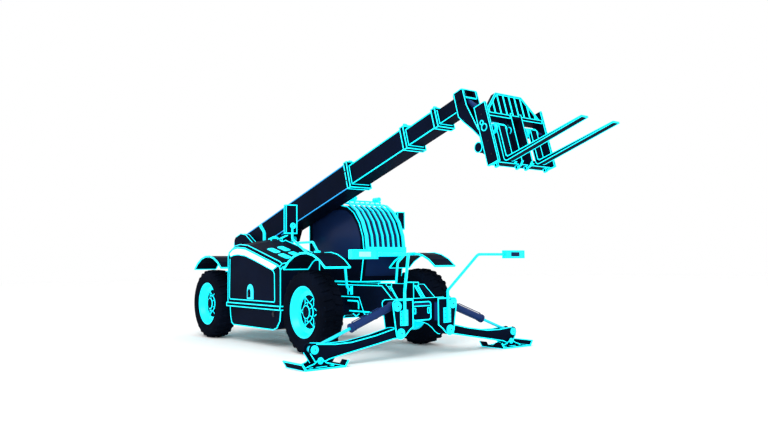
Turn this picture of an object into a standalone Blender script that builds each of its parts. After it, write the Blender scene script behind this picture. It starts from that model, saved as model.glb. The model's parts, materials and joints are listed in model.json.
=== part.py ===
"""A telehandler with a four-section boom, pallet forks and two front stabilisers.

The model is built in metres with +X to the front, +Y to the left and +Z up. Every sub-part is first
shaped in its own frame, with the front axle's middle over x = 0 and the ground at z = 0, or with a joint
at its origin. The last step moves the whole machine so that its origin lies on the ground, under the
middle of its box.
"""

from math import atan2, cos, hypot, pi, radians, sin

import bmesh
import bpy
from mathutils import Euler, Matrix, Vector

# ---------------------------------------------------------------- driving sizes
GAP = 0.0003             # between two pieces that touch
RUNNING_GAP = 0.0005     # round a pin or a sliding pad
PIN_SIDES = 16

WHEELBASE = 3.58
WHEEL_RADIUS = 0.65
TYRE_WIDTH = 0.40
WHEEL_TRACK = 2.20       # between the middles of the two tyres of an axle
RIM_SEAT_RADIUS = 0.380
RIM_FLANGE_RADIUS = 0.402
RIM_HALF_WIDTH = 0.170
KINGPIN_SPACING = 1.96
AXLE_TUBE_RADIUS = 0.085
AXLE_HOUSING_RADIUS = 0.19

RAIL_OUTSIDE = 0.42      # half of the chassis's width
RAIL_THICKNESS = 0.09
CHASSIS_TOP = 1.05
CHASSIS_BOTTOM = 0.60
CHASSIS_REAR = -4.32
AXLE_SEAT_Z = 0.86       # underside of the rails over an axle

BOOM_PIVOT = Vector((-3.95, 0.0, 1.827))
BOOM_REST_ANGLE = radians(16.03)
PIVOT_PIN_RADIUS = 0.05
TOWER_INSIDE = 0.262     # half of the gap that the boom's foot swings in

SECTION_PLATE = 0.012    # wall of each boom section
OUTER_WIDTH, OUTER_BELOW, OUTER_ABOVE = 0.400, 0.200, 0.220
SECOND_WIDTH, SECOND_BELOW, SECOND_ABOVE = 0.344, 0.163, 0.162
THIRD_WIDTH, THIRD_BELOW, THIRD_ABOVE = 0.288, 0.134, 0.125
INNER_WIDTH, INNER_BELOW, INNER_ABOVE = 0.236, 0.108, 0.100
OUTER_REAR, OUTER_FRONT = -0.35, 3.83
SECOND_LENGTH, SECOND_FRONT = 4.00, 5.37
THIRD_LENGTH, THIRD_FRONT = 3.70, 6.09
INNER_LENGTH, INNER_FRONT = 3.20, 6.53
COLLAR_LENGTH = 0.08
COLLAR_RISE = 0.020

LIFT_BASE = Vector((-3.80, 0.0, 1.05))
LIFT_EYE = Vector((1.45, 0.0, -0.360))       # in the boom's frame
LIFT_BARREL_RADIUS = 0.075
LIFT_ROD_RADIUS = 0.045
LIFT_BARREL_LENGTH = 1.15
LIFT_ROD_START = 0.38    # the rod's inner end at rest, from the barrel's pin
LIFT_EAR_INSIDE = 0.085  # half of the gap between the boom's two ears

HEAD_PIN = Vector((6.592, 0.0, 0.0425))      # in the boom's frame, as the two below
CARRIAGE_PIN = Vector((6.880, 0.0, -0.850))
TILT_EYE = Vector((7.080, 0.0, -0.610))
HEAD_HALF_WIDTH = 0.140
HEAD_PLATE = 0.022
TILT_BARREL_RADIUS = 0.038
TILT_ROD_RADIUS = 0.022
TILT_BARREL_LENGTH = 0.62
TILT_ROD_START = 0.19

CARRIAGE_HALF_WIDTH = 0.550
CARRIAGE_PLATE = 0.030
CARRIAGE_FRONT = 0.489                       # in the carriage's frame, from its pin
CARRIAGE_DEPTH = 0.190
CARRIAGE_BOTTOM = -0.410
CARRIAGE_HEIGHT = 0.810
LOAD_GUARD_HEIGHT = 0.300
LOAD_GUARD_DEPTH = 0.085
FORK_SPACING = 0.600
FORK_LENGTH = 1.200
FORK_WIDTH = 0.120
FORK_THICKNESS = 0.045

STABILISER_X = 1.300     # middle of the stabilisers' plane
LUG_GAP = 0.190          # between the front and the rear lug plates
LUG_PLATE = 0.030
CHASSIS_FRONT = STABILISER_X - LUG_GAP / 2 - LUG_PLATE - GAP   # the rear lug plate lies on it
LEG_PIN = (0.482, 0.372)                     # y and z, on the left side
CYLINDER_PIN = (0.5425, 0.765)
ROD_PIN = (1.924, 0.248)
FOOT_PIN = (1.848, 0.100)
STABILISER_PIN_RADIUS = 0.035
LEG_WIDTH = 0.170
FOOT_LENGTH, FOOT_DEPTH, FOOT_PLATE = 0.730, 0.500, 0.012
FOOT_FLARE_RUN, FOOT_FLARE_RISE = 0.055, 0.085
FOOT_CLEARANCE = 0.004
NEST_HALF_WIDTH = 0.068  # the trough in a leg's top that its cylinder folds into
STABILISER_BARREL_RADIUS = 0.058
STABILISER_ROD_RADIUS = 0.024
STABILISER_BARREL_LENGTH = 0.80
STABILISER_ROD_START = 0.60
BARREL_BASE = 0.10       # solid length of a barrel, from its pin

POD_OUTSIDE = 1.200      # distance of the hood's side from the machine's middle
POD_INSIDE = 0.430
POD_REAR, POD_FRONT = -2.800, -0.830
POD_FLOOR_TOP = 0.700
HOOD_WALL = 0.025
HOOD_RISE = 0.120        # how much higher the hood is at its inner edge
HOOD_HINGE = Vector((0.0, -0.405, 1.900))

CAB_RIGHT, CAB_LEFT = 0.300, 1.200
CAB_REAR = -2.360
CAB_FLOOR, CAB_ROOF = 1.075, 2.460
CAB_WALL = 0.050
CAB_POST = 0.075
GLASS = 0.006
SCREEN_BOTTOM = 1.170
DOOR_REAR, DOOR_FRONT = -2.180, -1.130

SCREEN_STEPS = 5         # flats of the curved windscreen
GUARD_BARS = 8
ROOF_LAMP_RADIUS = 0.042
MUDGUARD_RADIUS = 0.900
MUDGUARD_PLATE = 0.012
MUDGUARD_WIDTH = 0.450
MUDGUARD_CENTRE = (0.08, WHEEL_RADIUS + 0.02)
MUDGUARD_FACETS = 7
MUDGUARD_START, MUDGUARD_END = 48.0, 134.0
LAMP_REACH = 1.667
LAMP_X, LAMP_Z = 1.860, 1.512
LAMP_LENGTH, LAMP_DEPTH, LAMP_HEIGHT = 0.425, 0.080, 0.125

# ---------------------------------------------------------------- finishes
PANEL = ("panel_paint", "#0D1424", 0.35, 0.0)
STEEL = ("structure_paint", "#10182B", 0.40, 0.0)
GLOW = ("bright_cyan_paint", "#00E5FF", 0.35, 0.0)
BLUE = ("cylinder_blue", "#22437F", 0.30, 0.2)
CHROME = ("rod_chrome", "#00E5FF", 0.15, 0.6)
RUBBER = ("tyre_rubber", "#0B0D12", 0.85, 0.0)
PANE = ("tinted_glass", "#1D3358", 0.08, 0.0)
CLOTH = ("seat_cloth", "#171B26", 0.90, 0.0)


def linear(channel):
    """One sRGB channel, from 0 to 1, as a linear value."""
    return channel / 12.92 if channel <= 0.04045 else ((channel + 0.055) / 1.055) ** 2.4


def material(finish):
    name, colour, roughness, metallic = finish
    made = bpy.data.materials.get(name)
    if made is None:
        made = bpy.data.materials.new(name)
        made.use_nodes = True
        shader = made.node_tree.nodes["Principled BSDF"]
        channels = [linear(int(colour[i:i + 2], 16) / 255) for i in (1, 3, 5)]
        shader.inputs["Base Color"].default_value = (*channels, 1.0)
        shader.inputs["Roughness"].default_value = roughness
        shader.inputs["Metallic"].default_value = metallic
    return made


# ---------------------------------------------------------------- shapes
def shape(bm):
    """A loose mesh object from a bmesh, with its faces pointing out."""
    bmesh.ops.remove_doubles(bm, verts=bm.verts, dist=1e-6)
    bmesh.ops.recalc_face_normals(bm, faces=bm.faces)
    mesh = bpy.data.meshes.new("shape")
    bm.to_mesh(mesh)
    bm.free()
    obj = bpy.data.objects.new("shape", mesh)
    bpy.context.collection.objects.link(obj)
    return obj


def box(x, y, z):
    """A box from pairs of limits."""
    bm = bmesh.new()
    bmesh.ops.create_cube(bm, size=1.0)
    size = Vector((x[1] - x[0], y[1] - y[0], z[1] - z[0]))
    middle = Vector((x[0] + x[1], y[0] + y[1], z[0] + z[1])) / 2
    bmesh.ops.scale(bm, vec=size, verts=bm.verts)
    bmesh.ops.translate(bm, vec=middle, verts=bm.verts)
    return shape(bm)


def prism(outline, axis, start, end):
    """A plate: an outline in the two other coordinates, pushed along the axis from start to end."""
    place = {
        "x": lambda a, b: (start, a, b),
        "y": lambda a, b: (a, start, b),
        "z": lambda a, b: (a, b, start),
    }[axis]
    push = {"x": (end - start, 0, 0), "y": (0, end - start, 0), "z": (0, 0, end - start)}[axis]
    bm = bmesh.new()
    face = bm.faces.new([bm.verts.new(place(a, b)) for a, b in outline])
    pushed = bmesh.ops.extrude_face_region(bm, geom=[face], use_keep_orig=True)
    verts = [item for item in pushed["geom"] if isinstance(item, bmesh.types.BMVert)]
    bmesh.ops.translate(bm, vec=push, verts=verts)
    return shape(bm)


def arc(middle, radius, start, end, steps):
    """Points on an arc, in degrees, counted anticlockwise from the first coordinate."""
    turn = (end - start) / steps
    angles = [radians(start + turn * i) for i in range(steps + 1)]
    return [(middle[0] + radius * cos(a), middle[1] + radius * sin(a)) for a in angles]


def rod(start, end, radius, sides=12):
    """A round bar between two points."""
    start, end = Vector(start), Vector(end)
    bm = bmesh.new()
    turn = (end - start).to_track_quat("Z", "Y").to_matrix().to_4x4()
    bmesh.ops.create_cone(
        bm, cap_ends=True, segments=sides, radius1=radius, radius2=radius, depth=(end - start).length,
        matrix=Matrix.Translation((start + end) / 2) @ turn,
    )
    return shape(bm)


def bore(start, end, pin_radius):
    """A cutter whose flats clear a pin of PIN_SIDES sides at any turn."""
    return rod(start, end, (pin_radius + GAP) / cos(pi / PIN_SIDES), PIN_SIDES)


def cross_pin(x, z, radius, half_width, sides=12, y=0.0):
    """A round bar along y."""
    return rod((x, y - half_width, z), (x, y + half_width, z), radius, sides)


def turned(profile, sides=20):
    """A ring or a disc: an outline of radius and height, turned about the y axis."""
    bm = bmesh.new()
    verts = [bm.verts.new((radius, height, 0.0)) for radius, height in profile]
    edges = [bm.edges.new((a, b)) for a, b in zip(verts, verts[1:])]
    if profile[0][0] > 0:
        edges.append(bm.edges.new((verts[-1], verts[0])))
    bmesh.ops.spin(
        bm, geom=verts + edges, cent=(0, 0, 0), axis=(0, 1, 0), angle=2 * pi, steps=sides, use_merge=True,
    )
    bmesh.ops.remove_doubles(bm, verts=bm.verts, dist=1e-5)
    return shape(bm)


def rounded(points, radius, steps=4):
    """The points of a bent tube, with an arc in place of each corner."""
    points = [Vector(p) for p in points]
    path = [points[0]]
    for before, corner, after in zip(points, points[1:], points[2:]):
        back, ahead = (before - corner).normalized(), (after - corner).normalized()
        half = back.angle(ahead) / 2
        reach = radius / max(abs(sin(half) / cos(half)), 1e-6)
        centre = corner + (back + ahead).normalized() * radius / sin(half)
        first, last = corner + back * reach - centre, corner + ahead * reach - centre
        for i in range(steps + 1):
            path.append(centre + first.slerp(last, i / steps).normalized() * radius)
    path.append(points[-1])
    return path


def tube(points, radius, sides=8):
    """A closed round bar along a path."""
    curve = bpy.data.curves.new("tube", "CURVE")
    curve.dimensions = "3D"
    curve.bevel_depth = radius
    curve.bevel_resolution = (sides - 4) // 2
    curve.use_fill_caps = True
    line = curve.splines.new("POLY")
    line.points.add(len(points) - 1)
    for point, place in zip(line.points, points):
        point.co = (*place, 1.0)
    holder = bpy.data.objects.new("tube", curve)
    bpy.context.collection.objects.link(holder)
    bpy.context.view_layer.update()
    mesh = bpy.data.meshes.new_from_object(holder.evaluated_get(bpy.context.evaluated_depsgraph_get()))
    bpy.data.objects.remove(holder)
    bm = bmesh.new()
    bm.from_mesh(mesh)
    return shape(bm)


def turn(obj, angle, axis, about=(0, 0, 0)):
    """Turns a loose shape about a point."""
    middle = Matrix.Translation(Vector(about))
    obj.data.transform(middle @ Matrix.Rotation(angle, 4, axis) @ middle.inverted())
    return obj


def solid(name, finish, shapes, cuts=(), pivot=None, side=1):
    """Joins shapes into one piece, takes the cuts away and hangs the piece on a pivot.

    A side of -1 mirrors the piece to the machine's right.
    """
    base, others = shapes[0], [(obj, "UNION") for obj in shapes[1:]] + [(obj, "DIFFERENCE") for obj in cuts]
    for obj, operation in others:
        step = base.modifiers.new(operation.lower(), "BOOLEAN")
        step.operation = operation
        step.solver = "EXACT"
        step.object = obj
    bpy.context.view_layer.update()
    mesh = bpy.data.meshes.new_from_object(base.evaluated_get(bpy.context.evaluated_depsgraph_get()))
    for obj in [base] + [obj for obj, _ in others]:
        bpy.data.objects.remove(obj)
    bm = bmesh.new()
    bm.from_mesh(mesh)
    bmesh.ops.remove_doubles(bm, verts=bm.verts, dist=1e-5)
    bmesh.ops.dissolve_degenerate(bm, edges=bm.edges, dist=1e-5)
    if side < 0:
        bmesh.ops.scale(bm, vec=(1, -1, 1), verts=bm.verts)
        bmesh.ops.reverse_faces(bm, faces=bm.faces)
    bm.to_mesh(mesh)
    bm.free()
    mesh.name = name
    mesh.materials.clear()
    mesh.materials.append(material(finish))
    mesh.shade_smooth()
    mesh.set_sharp_from_angle(angle=radians(32))
    obj = bpy.data.objects.new(name, mesh)
    bpy.context.collection.objects.link(obj)
    obj.parent = pivot if pivot else MACHINE
    return obj


def pivot(name, place, parent=None, turned_by=0.0):
    """An empty on a joint's axis. turned_by raises its x axis, in the plane of x and z."""
    empty = bpy.data.objects.new("pivot_" + name, None)
    empty.empty_display_size = 0.15
    empty.location = place
    empty.rotation_euler = Euler((0, -turned_by, 0))
    empty.parent = parent if parent else MACHINE
    bpy.context.collection.objects.link(empty)
    return empty


# ---------------------------------------------------------------- wheels and axles
def wheel(name, steering, side):
    """A tyre on its rim. Both turn on the knuckle's spindle."""
    hub = pivot(name + "_wheel", (0, side * (WHEEL_TRACK - KINGPIN_SPACING) / 2, 0), steering)
    seat, flange, edge = RIM_SEAT_RADIUS, RIM_FLANGE_RADIUS, RIM_HALF_WIDTH
    lip = 0.012
    half = TYRE_WIDTH / 2
    flank = [
        (seat + GAP, edge - lip - GAP), (flange + 0.002, edge - lip - GAP), (flange + 0.004, edge + 0.005),
        (0.46, half - 0.004), (0.56, half), (0.62, half - 0.020), (WHEEL_RADIUS, half - 0.055),
    ]
    tyre = [(r, y) for r, y in flank] + [(r, -y) for r, y in reversed(flank)]
    solid(name + "_tyre", RUBBER, [turned(tyre)], pivot=hub, side=side)
    disc = 0.050
    rim = [
        (0.0, disc + 0.060), (0.11, disc + 0.060), (0.14, disc), (0.285, disc), (seat + 0.005, edge),
        (flange, edge), (flange, edge - lip), (seat, edge - lip), (seat, lip - edge), (flange, lip - edge),
        (flange, -edge), (seat - 0.014, -edge), (seat - 0.014, disc + 0.060), (0.275, disc - 0.015),
        (0.0, disc - 0.015),
    ]
    solid(name + "_rim", GLOW, [turned(rim)], pivot=hub, side=side)


def knuckle(name, centre, side):
    """The steered end of an axle, on its kingpin, with the spindle that carries the wheel."""
    steering = pivot(name + "_steering", centre + Vector((0, side * KINGPIN_SPACING / 2, 0)))
    reach = (WHEEL_TRACK - KINGPIN_SPACING) / 2 + 0.050 - 0.015
    shapes = [
        rod((0, 0, -0.1035), (0, 0, 0.1035), 0.055),
        rod((0, 0, -0.150), (0, 0, 0.150), 0.030, PIN_SIDES),
        rod((0, 0.02, 0), (0, reach - 0.045, 0), 0.065),
        rod((0, reach - 0.050, 0), (0, reach - RUNNING_GAP, 0), 0.120, 20),
        box((-0.20, -0.03), (-0.020, 0.020), (-0.022, 0.022)),
    ]
    solid(name + "_knuckle", STEEL, shapes, pivot=steering, side=side)
    wheel(name, steering, side)


def axle(name, x):
    """A solid axle with a yoke at each end for its knuckle."""
    centre = Vector((x, 0, WHEEL_RADIUS))
    kingpin = KINGPIN_SPACING / 2
    bulge = AXLE_HOUSING_RADIUS
    housing = [(0, 0.22), (0.12, 0.22), (bulge, 0.10), (bulge, -0.10), (0.12, -0.22), (0, -0.22)]
    shapes = [turned(housing, 16), cross_pin(0, 0, AXLE_TUBE_RADIUS, kingpin - 0.115)]
    cuts = []
    for side in (1, -1):
        root = sorted((side * (kingpin - 0.145), side * (kingpin - 0.090)))
        reach = sorted((side * (kingpin - 0.10), side * (kingpin + 0.050)))
        shapes.append(box((-0.092, 0.092), root, (-0.140, 0.140)))
        for top in (1, -1):
            ear = box((-0.055, 0.055), reach, sorted((top * 0.104, top * 0.138)))
            shapes.append(ear)
        cuts.append(bore((0, side * kingpin, -0.2), (0, side * kingpin, 0.2), 0.030))
        seat = (side * (RAIL_OUTSIDE - RAIL_THICKNESS), side * RAIL_OUTSIDE)
        shapes.append(box((-0.11, 0.11), sorted(seat), (0.03, AXLE_SEAT_Z - WHEEL_RADIUS - GAP)))
    holder = pivot(name, centre)
    solid(name, STEEL, shapes, cuts, pivot=holder)
    for side, word in ((1, "left"), (-1, "right")):
        knuckle(name.replace("axle", word), centre, side)


# ---------------------------------------------------------------- chassis
def rail_outline():
    """Side view of a chassis rail, with a notch over each axle."""
    notch = 0.30
    slope = 0.14
    outline = [(CHASSIS_REAR, CHASSIS_TOP), (CHASSIS_REAR, CHASSIS_BOTTOM)]
    for x in (-WHEELBASE, 0.0):
        outline += [
            (x - notch - slope, CHASSIS_BOTTOM), (x - notch, AXLE_SEAT_Z),
            (x + notch, AXLE_SEAT_Z), (x + notch + slope, CHASSIS_BOTTOM),
        ]
    return outline + [(CHASSIS_FRONT, CHASSIS_BOTTOM), (CHASSIS_FRONT, 0.84), (0.90, CHASSIS_TOP)]


def main_frame():
    """Two rails, their cross-members, the boom's tower and the seats for the cab and the engine bay."""
    inside = RAIL_OUTSIDE - RAIL_THICKNESS
    shapes, cuts = [], []
    tower = [
        (CHASSIS_REAR, 0.62), (CHASSIS_REAR, 1.86),
        *arc((-4.20, 1.86), 0.12, 170, 100, 3), (-4.02, 2.035), (-3.80, 2.005), (-3.48, 1.83), (-3.22, 1.46),
        (-3.05, CHASSIS_TOP), (-3.05, 0.90), (-4.10, 0.90),
    ]
    for side in (1, -1):
        rail = sorted((side * inside, side * RAIL_OUTSIDE))
        shapes.append(prism(rail_outline(), "y", *rail))
        shapes.append(prism(tower, "y", *sorted((side * TOWER_INSIDE, side * (inside + 0.02)))))
    reach = inside + 0.02
    shapes += [
        box((CHASSIS_REAR, -4.24), (-reach, reach), (0.62, 1.32)),
        box((-4.24, -3.66), (-reach, reach), (0.88, 0.945)),
        box((-3.02, -2.84), (-reach, reach), (0.62, 0.80)),
        box((-1.86, -1.70), (-reach, reach), (0.62, 0.80)),
        box((-0.90, -0.72), (-reach, reach), (0.62, 0.80)),
        box((0.62, CHASSIS_FRONT), (-reach, reach), (0.62, 0.82)),
        cross_pin(BOOM_PIVOT.x, BOOM_PIVOT.z, PIVOT_PIN_RADIUS, inside + 0.03, PIN_SIDES),
    ]
    for side in (1, -1):
        lug = [(-0.11, -0.12), (0.11, -0.12), *arc((0, 0), 0.065, -10, 190, 6)]
        ear = [(LIFT_BASE.x + a, LIFT_BASE.z + b) for a, b in lug]
        shapes.append(prism(ear, "y", *sorted((side * 0.060, side * 0.085))))
        shapes.append(box((0.68, 0.88), sorted((side * 0.22, side * 0.32)), (0.78, 1.085)))
        for y in (0.235, 0.290):
            gusset = [
                (0.86, 1.06), (0.86, 0.98), (0.97, 0.80), (CHASSIS_FRONT, 0.80), (CHASSIS_FRONT, 0.825),
                (1.075, 0.825),
            ]
            shapes.append(prism(gusset, "y", *sorted((side * y, side * (y + 0.018)))))
    shapes.append(cross_pin(LIFT_BASE.x, LIFT_BASE.z, 0.030, 0.100, PIN_SIDES))
    # seats under the cab
    for x in (-2.20, -1.20):
        shapes.append(box((x - 0.06, x + 0.06), (0.40, 1.10), (CHASSIS_TOP - 0.09, CAB_FLOOR - GAP)))
    return solid("main_frame", STEEL, shapes, cuts)


def counterweight():
    """The rear weight, with cut corners, and the coupling jaw under it."""
    back = CHASSIS_REAR - GAP
    outline = [
        (-0.95, 0.74), (-0.80, 0.60), (0.80, 0.60), (0.95, 0.74),
        (0.95, 1.10), (0.70, 1.26), (-0.70, 1.26), (-0.95, 1.10),
    ]
    solid("counterweight", STEEL, [prism(outline, "x", back - 0.15, back)])
    jaw = [box((back - 0.27, back - 0.15 - GAP), (-0.11, 0.11), (0.62, 0.80))]
    cuts = [
        box((back - 0.30, back - 0.185), (-0.20, 0.20), (0.68, 0.74)),
        rod((back - 0.225, 0, 0.60), (back - 0.225, 0, 0.90), 0.0205),
    ]
    solid("tow_hitch", STEEL, jaw, cuts)


def stabiliser_frame():
    """The front cross-member: a rear plate, two front lug plates, a box between them and four pins."""
    half = LUG_GAP / 2
    outside = [*arc(LEG_PIN, 0.080, 220, 350, 5), (0.625, 0.80), *arc((0.575, 0.80), 0.05, 10, 90, 2)]
    belly = [(0.0, 0.515), (0.13, 0.50), (0.25, 0.455), (0.33, 0.40), (0.40, 0.330)]
    full = [*belly, *outside]
    full += [(-y, z) for y, z in reversed(full[1:])]
    shapes, cuts = [], []
    front = STABILISER_X + half + LUG_PLATE
    rear = STABILISER_X - half - LUG_PLATE
    shapes.append(prism(full, "x", rear, rear + LUG_PLATE))
    lug = [*belly[2:], *outside, (belly[2][0], outside[-1][1])]
    for side in (1, -1):
        shapes.append(prism([(side * y, z) for y, z in lug], "x", front - LUG_PLATE, front))
        shapes.append(box((rear + 0.01, front - 0.01), sorted((side * 0.25, side * 0.33)), (0.50, 0.80)))
    shapes.append(box((rear + 0.01, STABILISER_X + 0.01), (-0.26, 0.26), (0.52, 0.84)))
    shapes.append(box((rear + 0.01, STABILISER_X + 0.03), (-0.19, 0.19), (0.53, 0.82)))
    for side in (1, -1):
        for y, z in (LEG_PIN, CYLINDER_PIN):
            y *= side
            shapes.append(rod((rear - 0.02, y, z), (front + 0.02, y, z), STABILISER_PIN_RADIUS, PIN_SIDES))
            shapes.append(rod((front - 0.002, y, z), (front + 0.012, y, z), 0.058))
        cuts.append(box((STABILISER_X, front), sorted((side * 0.120, side * 0.155)), (0.64, 0.71)))
    solid("stabiliser_frame", STEEL, shapes, cuts)


def stabiliser(word, side):
    """One leg with its cylinder and its foot, out of the lug plates to one side."""
    frame_x = STABILISER_X
    leg_place = Vector((frame_x, side * LEG_PIN[0], LEG_PIN[1]))
    leg_pivot = pivot(word + "_stabiliser_leg", leg_place)
    ry, rz = ROD_PIN[0] - LEG_PIN[0], ROD_PIN[1] - LEG_PIN[1]
    fy, fz = FOOT_PIN[0] - LEG_PIN[0], FOOT_PIN[1] - LEG_PIN[1]
    half = LEG_WIDTH / 2
    outline = [
        (0.02, -0.070), (0.08, -0.068), (0.64, -0.165), (0.93, -0.213), (fy - 0.16, -0.262),
        *arc((fy, fz), 0.060, 215, 320, 4), *arc((ry, rz), 0.080, -35, 115, 6),
        (ry - 0.15, rz + 0.062), (ry - 0.33, rz + 0.050), (0.84, -0.068), (0.42, -0.004),
        (0.08, 0.072), (0.02, 0.074),
    ]
    end = ry - 0.236
    trough = [(0.27, 0.2), (0.27, -0.076), (0.64, -0.140), (0.93, -0.188), (end, -0.237), (end, 0.2)]
    shapes = [
        prism(outline, "x", -half, half),
        rod((-LUG_GAP / 2 + RUNNING_GAP, 0, 0), (LUG_GAP / 2 - RUNNING_GAP, 0, 0), 0.075, 20),
    ]
    cuts = [
        bore((-0.2, 0, 0), (0.2, 0, 0), STABILISER_PIN_RADIUS),
        bore((-0.2, fy, fz), (0.2, fy, fz), 0.025),
        box((-NEST_HALF_WIDTH, NEST_HALF_WIDTH), (ry - 0.30, ry + 0.15), (-0.45, 0.1)),
        prism(trough, "x", -NEST_HALF_WIDTH, NEST_HALF_WIDTH),
    ]
    solid(word + "_stabiliser_leg", STEEL, shapes, cuts, pivot=leg_pivot, side=side)

    # the foot hangs on its own pin at the leg's end
    foot_pivot = pivot(word + "_stabiliser_foot", (0, side * fy, fz), leg_pivot)
    under = FOOT_CLEARANCE - FOOT_PIN[1]
    long, flare, rise = FOOT_LENGTH / 2, FOOT_FLARE_RUN, FOOT_FLARE_RISE
    tip = long - 0.010
    bend = long - flare - 0.006
    tray = [
        (-long, under + rise), (flare - long, under), (long - flare, under), (long, under + rise),
        (tip, under + rise + 0.005), (bend, under + FOOT_PLATE),
        (-bend, under + FOOT_PLATE), (-tip, under + rise + 0.005),
    ]
    side_plate = [
        (-0.255, under + 0.004), (0.255, under + 0.004), (0.19, under + 0.035), (0.10, -0.035),
        *arc((0, 0), 0.050, 0, 180, 6), (-0.10, -0.035), (-0.19, under + 0.035),
    ]
    shapes = [prism(tray, "x", -FOOT_DEPTH / 2, FOOT_DEPTH / 2)]
    for end in (1, -1):
        shapes.append(prism(side_plate, "x", *sorted((end * (half + RUNNING_GAP), end * (half + 0.0255)))))
    shapes.append(rod((-half - 0.035, 0, 0), (half + 0.035, 0, 0), 0.025, PIN_SIDES))
    # the inner flare is notched where the tilting foot would meet the leg
    across = (-half - 0.012, half + 0.012)
    notch = box(across, (-long - 0.01, -bend - 0.012), (under + 0.035, under + rise + 0.02))
    solid(word + "_stabiliser_foot", STEEL, shapes, [notch], pivot=foot_pivot, side=side)

    # the cylinder is open at its rod's eye, where the leg's two cheeks leave it room
    base = Vector((frame_x, side * CYLINDER_PIN[0], CYLINDER_PIN[1]))
    run = hypot(ROD_PIN[0] - CYLINDER_PIN[0], ROD_PIN[1] - CYLINDER_PIN[1])
    lean = atan2(ROD_PIN[1] - CYLINDER_PIN[1], ROD_PIN[0] - CYLINDER_PIN[0])
    barrel_pivot = pivot(word + "_stabiliser_cylinder", base)
    shapes = [
        rod((0, 0.03, 0), (0, STABILISER_BARREL_LENGTH, 0), STABILISER_BARREL_RADIUS),
        rod((-0.055, 0, 0), (0.055, 0, 0), 0.062, 20),
    ]
    cuts = [
        rod((0, BARREL_BASE, 0), (0, STABILISER_BARREL_LENGTH + 0.1, 0), STABILISER_ROD_RADIUS + RUNNING_GAP),
        bore((-0.2, 0, 0), (0.2, 0, 0), STABILISER_PIN_RADIUS),
    ]
    barrel = solid(word + "_stabiliser_barrel", BLUE, shapes, cuts, pivot=barrel_pivot, side=side)
    barrel.rotation_euler = Euler((side * lean, 0, 0))
    rod_pivot = pivot(word + "_stabiliser_rod", (0, 0, 0), barrel_pivot)
    shapes = [
        rod((0, STABILISER_ROD_START, 0), (0, run - 0.02, 0), STABILISER_ROD_RADIUS),
        rod((-0.040, run, 0), (0.040, run, 0), 0.045),
    ]
    arm = solid(word + "_stabiliser_rod", CHROME, shapes, pivot=rod_pivot, side=side)
    arm.rotation_euler = Euler((side * lean, 0, 0))


# ---------------------------------------------------------------- boom
def collar(inner, outer_size, front):
    """The ring at a section's mouth. Its pads guide the next section."""
    half, below, above = outer_size[0] / 2, outer_size[1], outer_size[2]
    ring = box((front - COLLAR_LENGTH, front), (-half - COLLAR_RISE, half + COLLAR_RISE),
               (-below - COLLAR_RISE, above + COLLAR_RISE))
    half, below, above = inner[0] / 2 + RUNNING_GAP, inner[1] + RUNNING_GAP, inner[2] + RUNNING_GAP
    mouth = box((front - COLLAR_LENGTH - 0.001, front + 0.001), (-half, half), (-below, above))
    return ring, mouth


def rear_pad(outside, rear):
    """The ring of pads at a section's rear end, which runs inside the section round it."""
    wall = SECTION_PLATE + RUNNING_GAP
    half, below, above = outside[0] / 2 - wall, outside[1] - wall, outside[2] - wall
    return box((rear, rear + 0.05), (-half, half), (-below, above))


def hollow_section(name, size, rear, front, inside=None, around=None, parent=None, extra=(), cut=()):
    """One telescoping section: a square tube, a collar at its mouth and pads at its rear end."""
    half, below, above = size[0] / 2, size[1], size[2]
    wall = SECTION_PLATE
    shapes = [box((rear, front), (-half, half), (-below, above))]
    cuts = []
    hollow_front = front + 0.01
    if inside:
        ring, mouth = collar(inside, size, front)
        shapes.append(ring)
        cuts.append(mouth)
        hollow_front = front - COLLAR_LENGTH
    if around:
        shapes.append(rear_pad(around, rear))
    cuts.append(box((rear - 0.01, hollow_front), (wall - half, half - wall), (wall - below, above - wall)))
    return solid(name, PANEL, shapes + list(extra), cuts + list(cut), pivot=parent)


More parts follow.
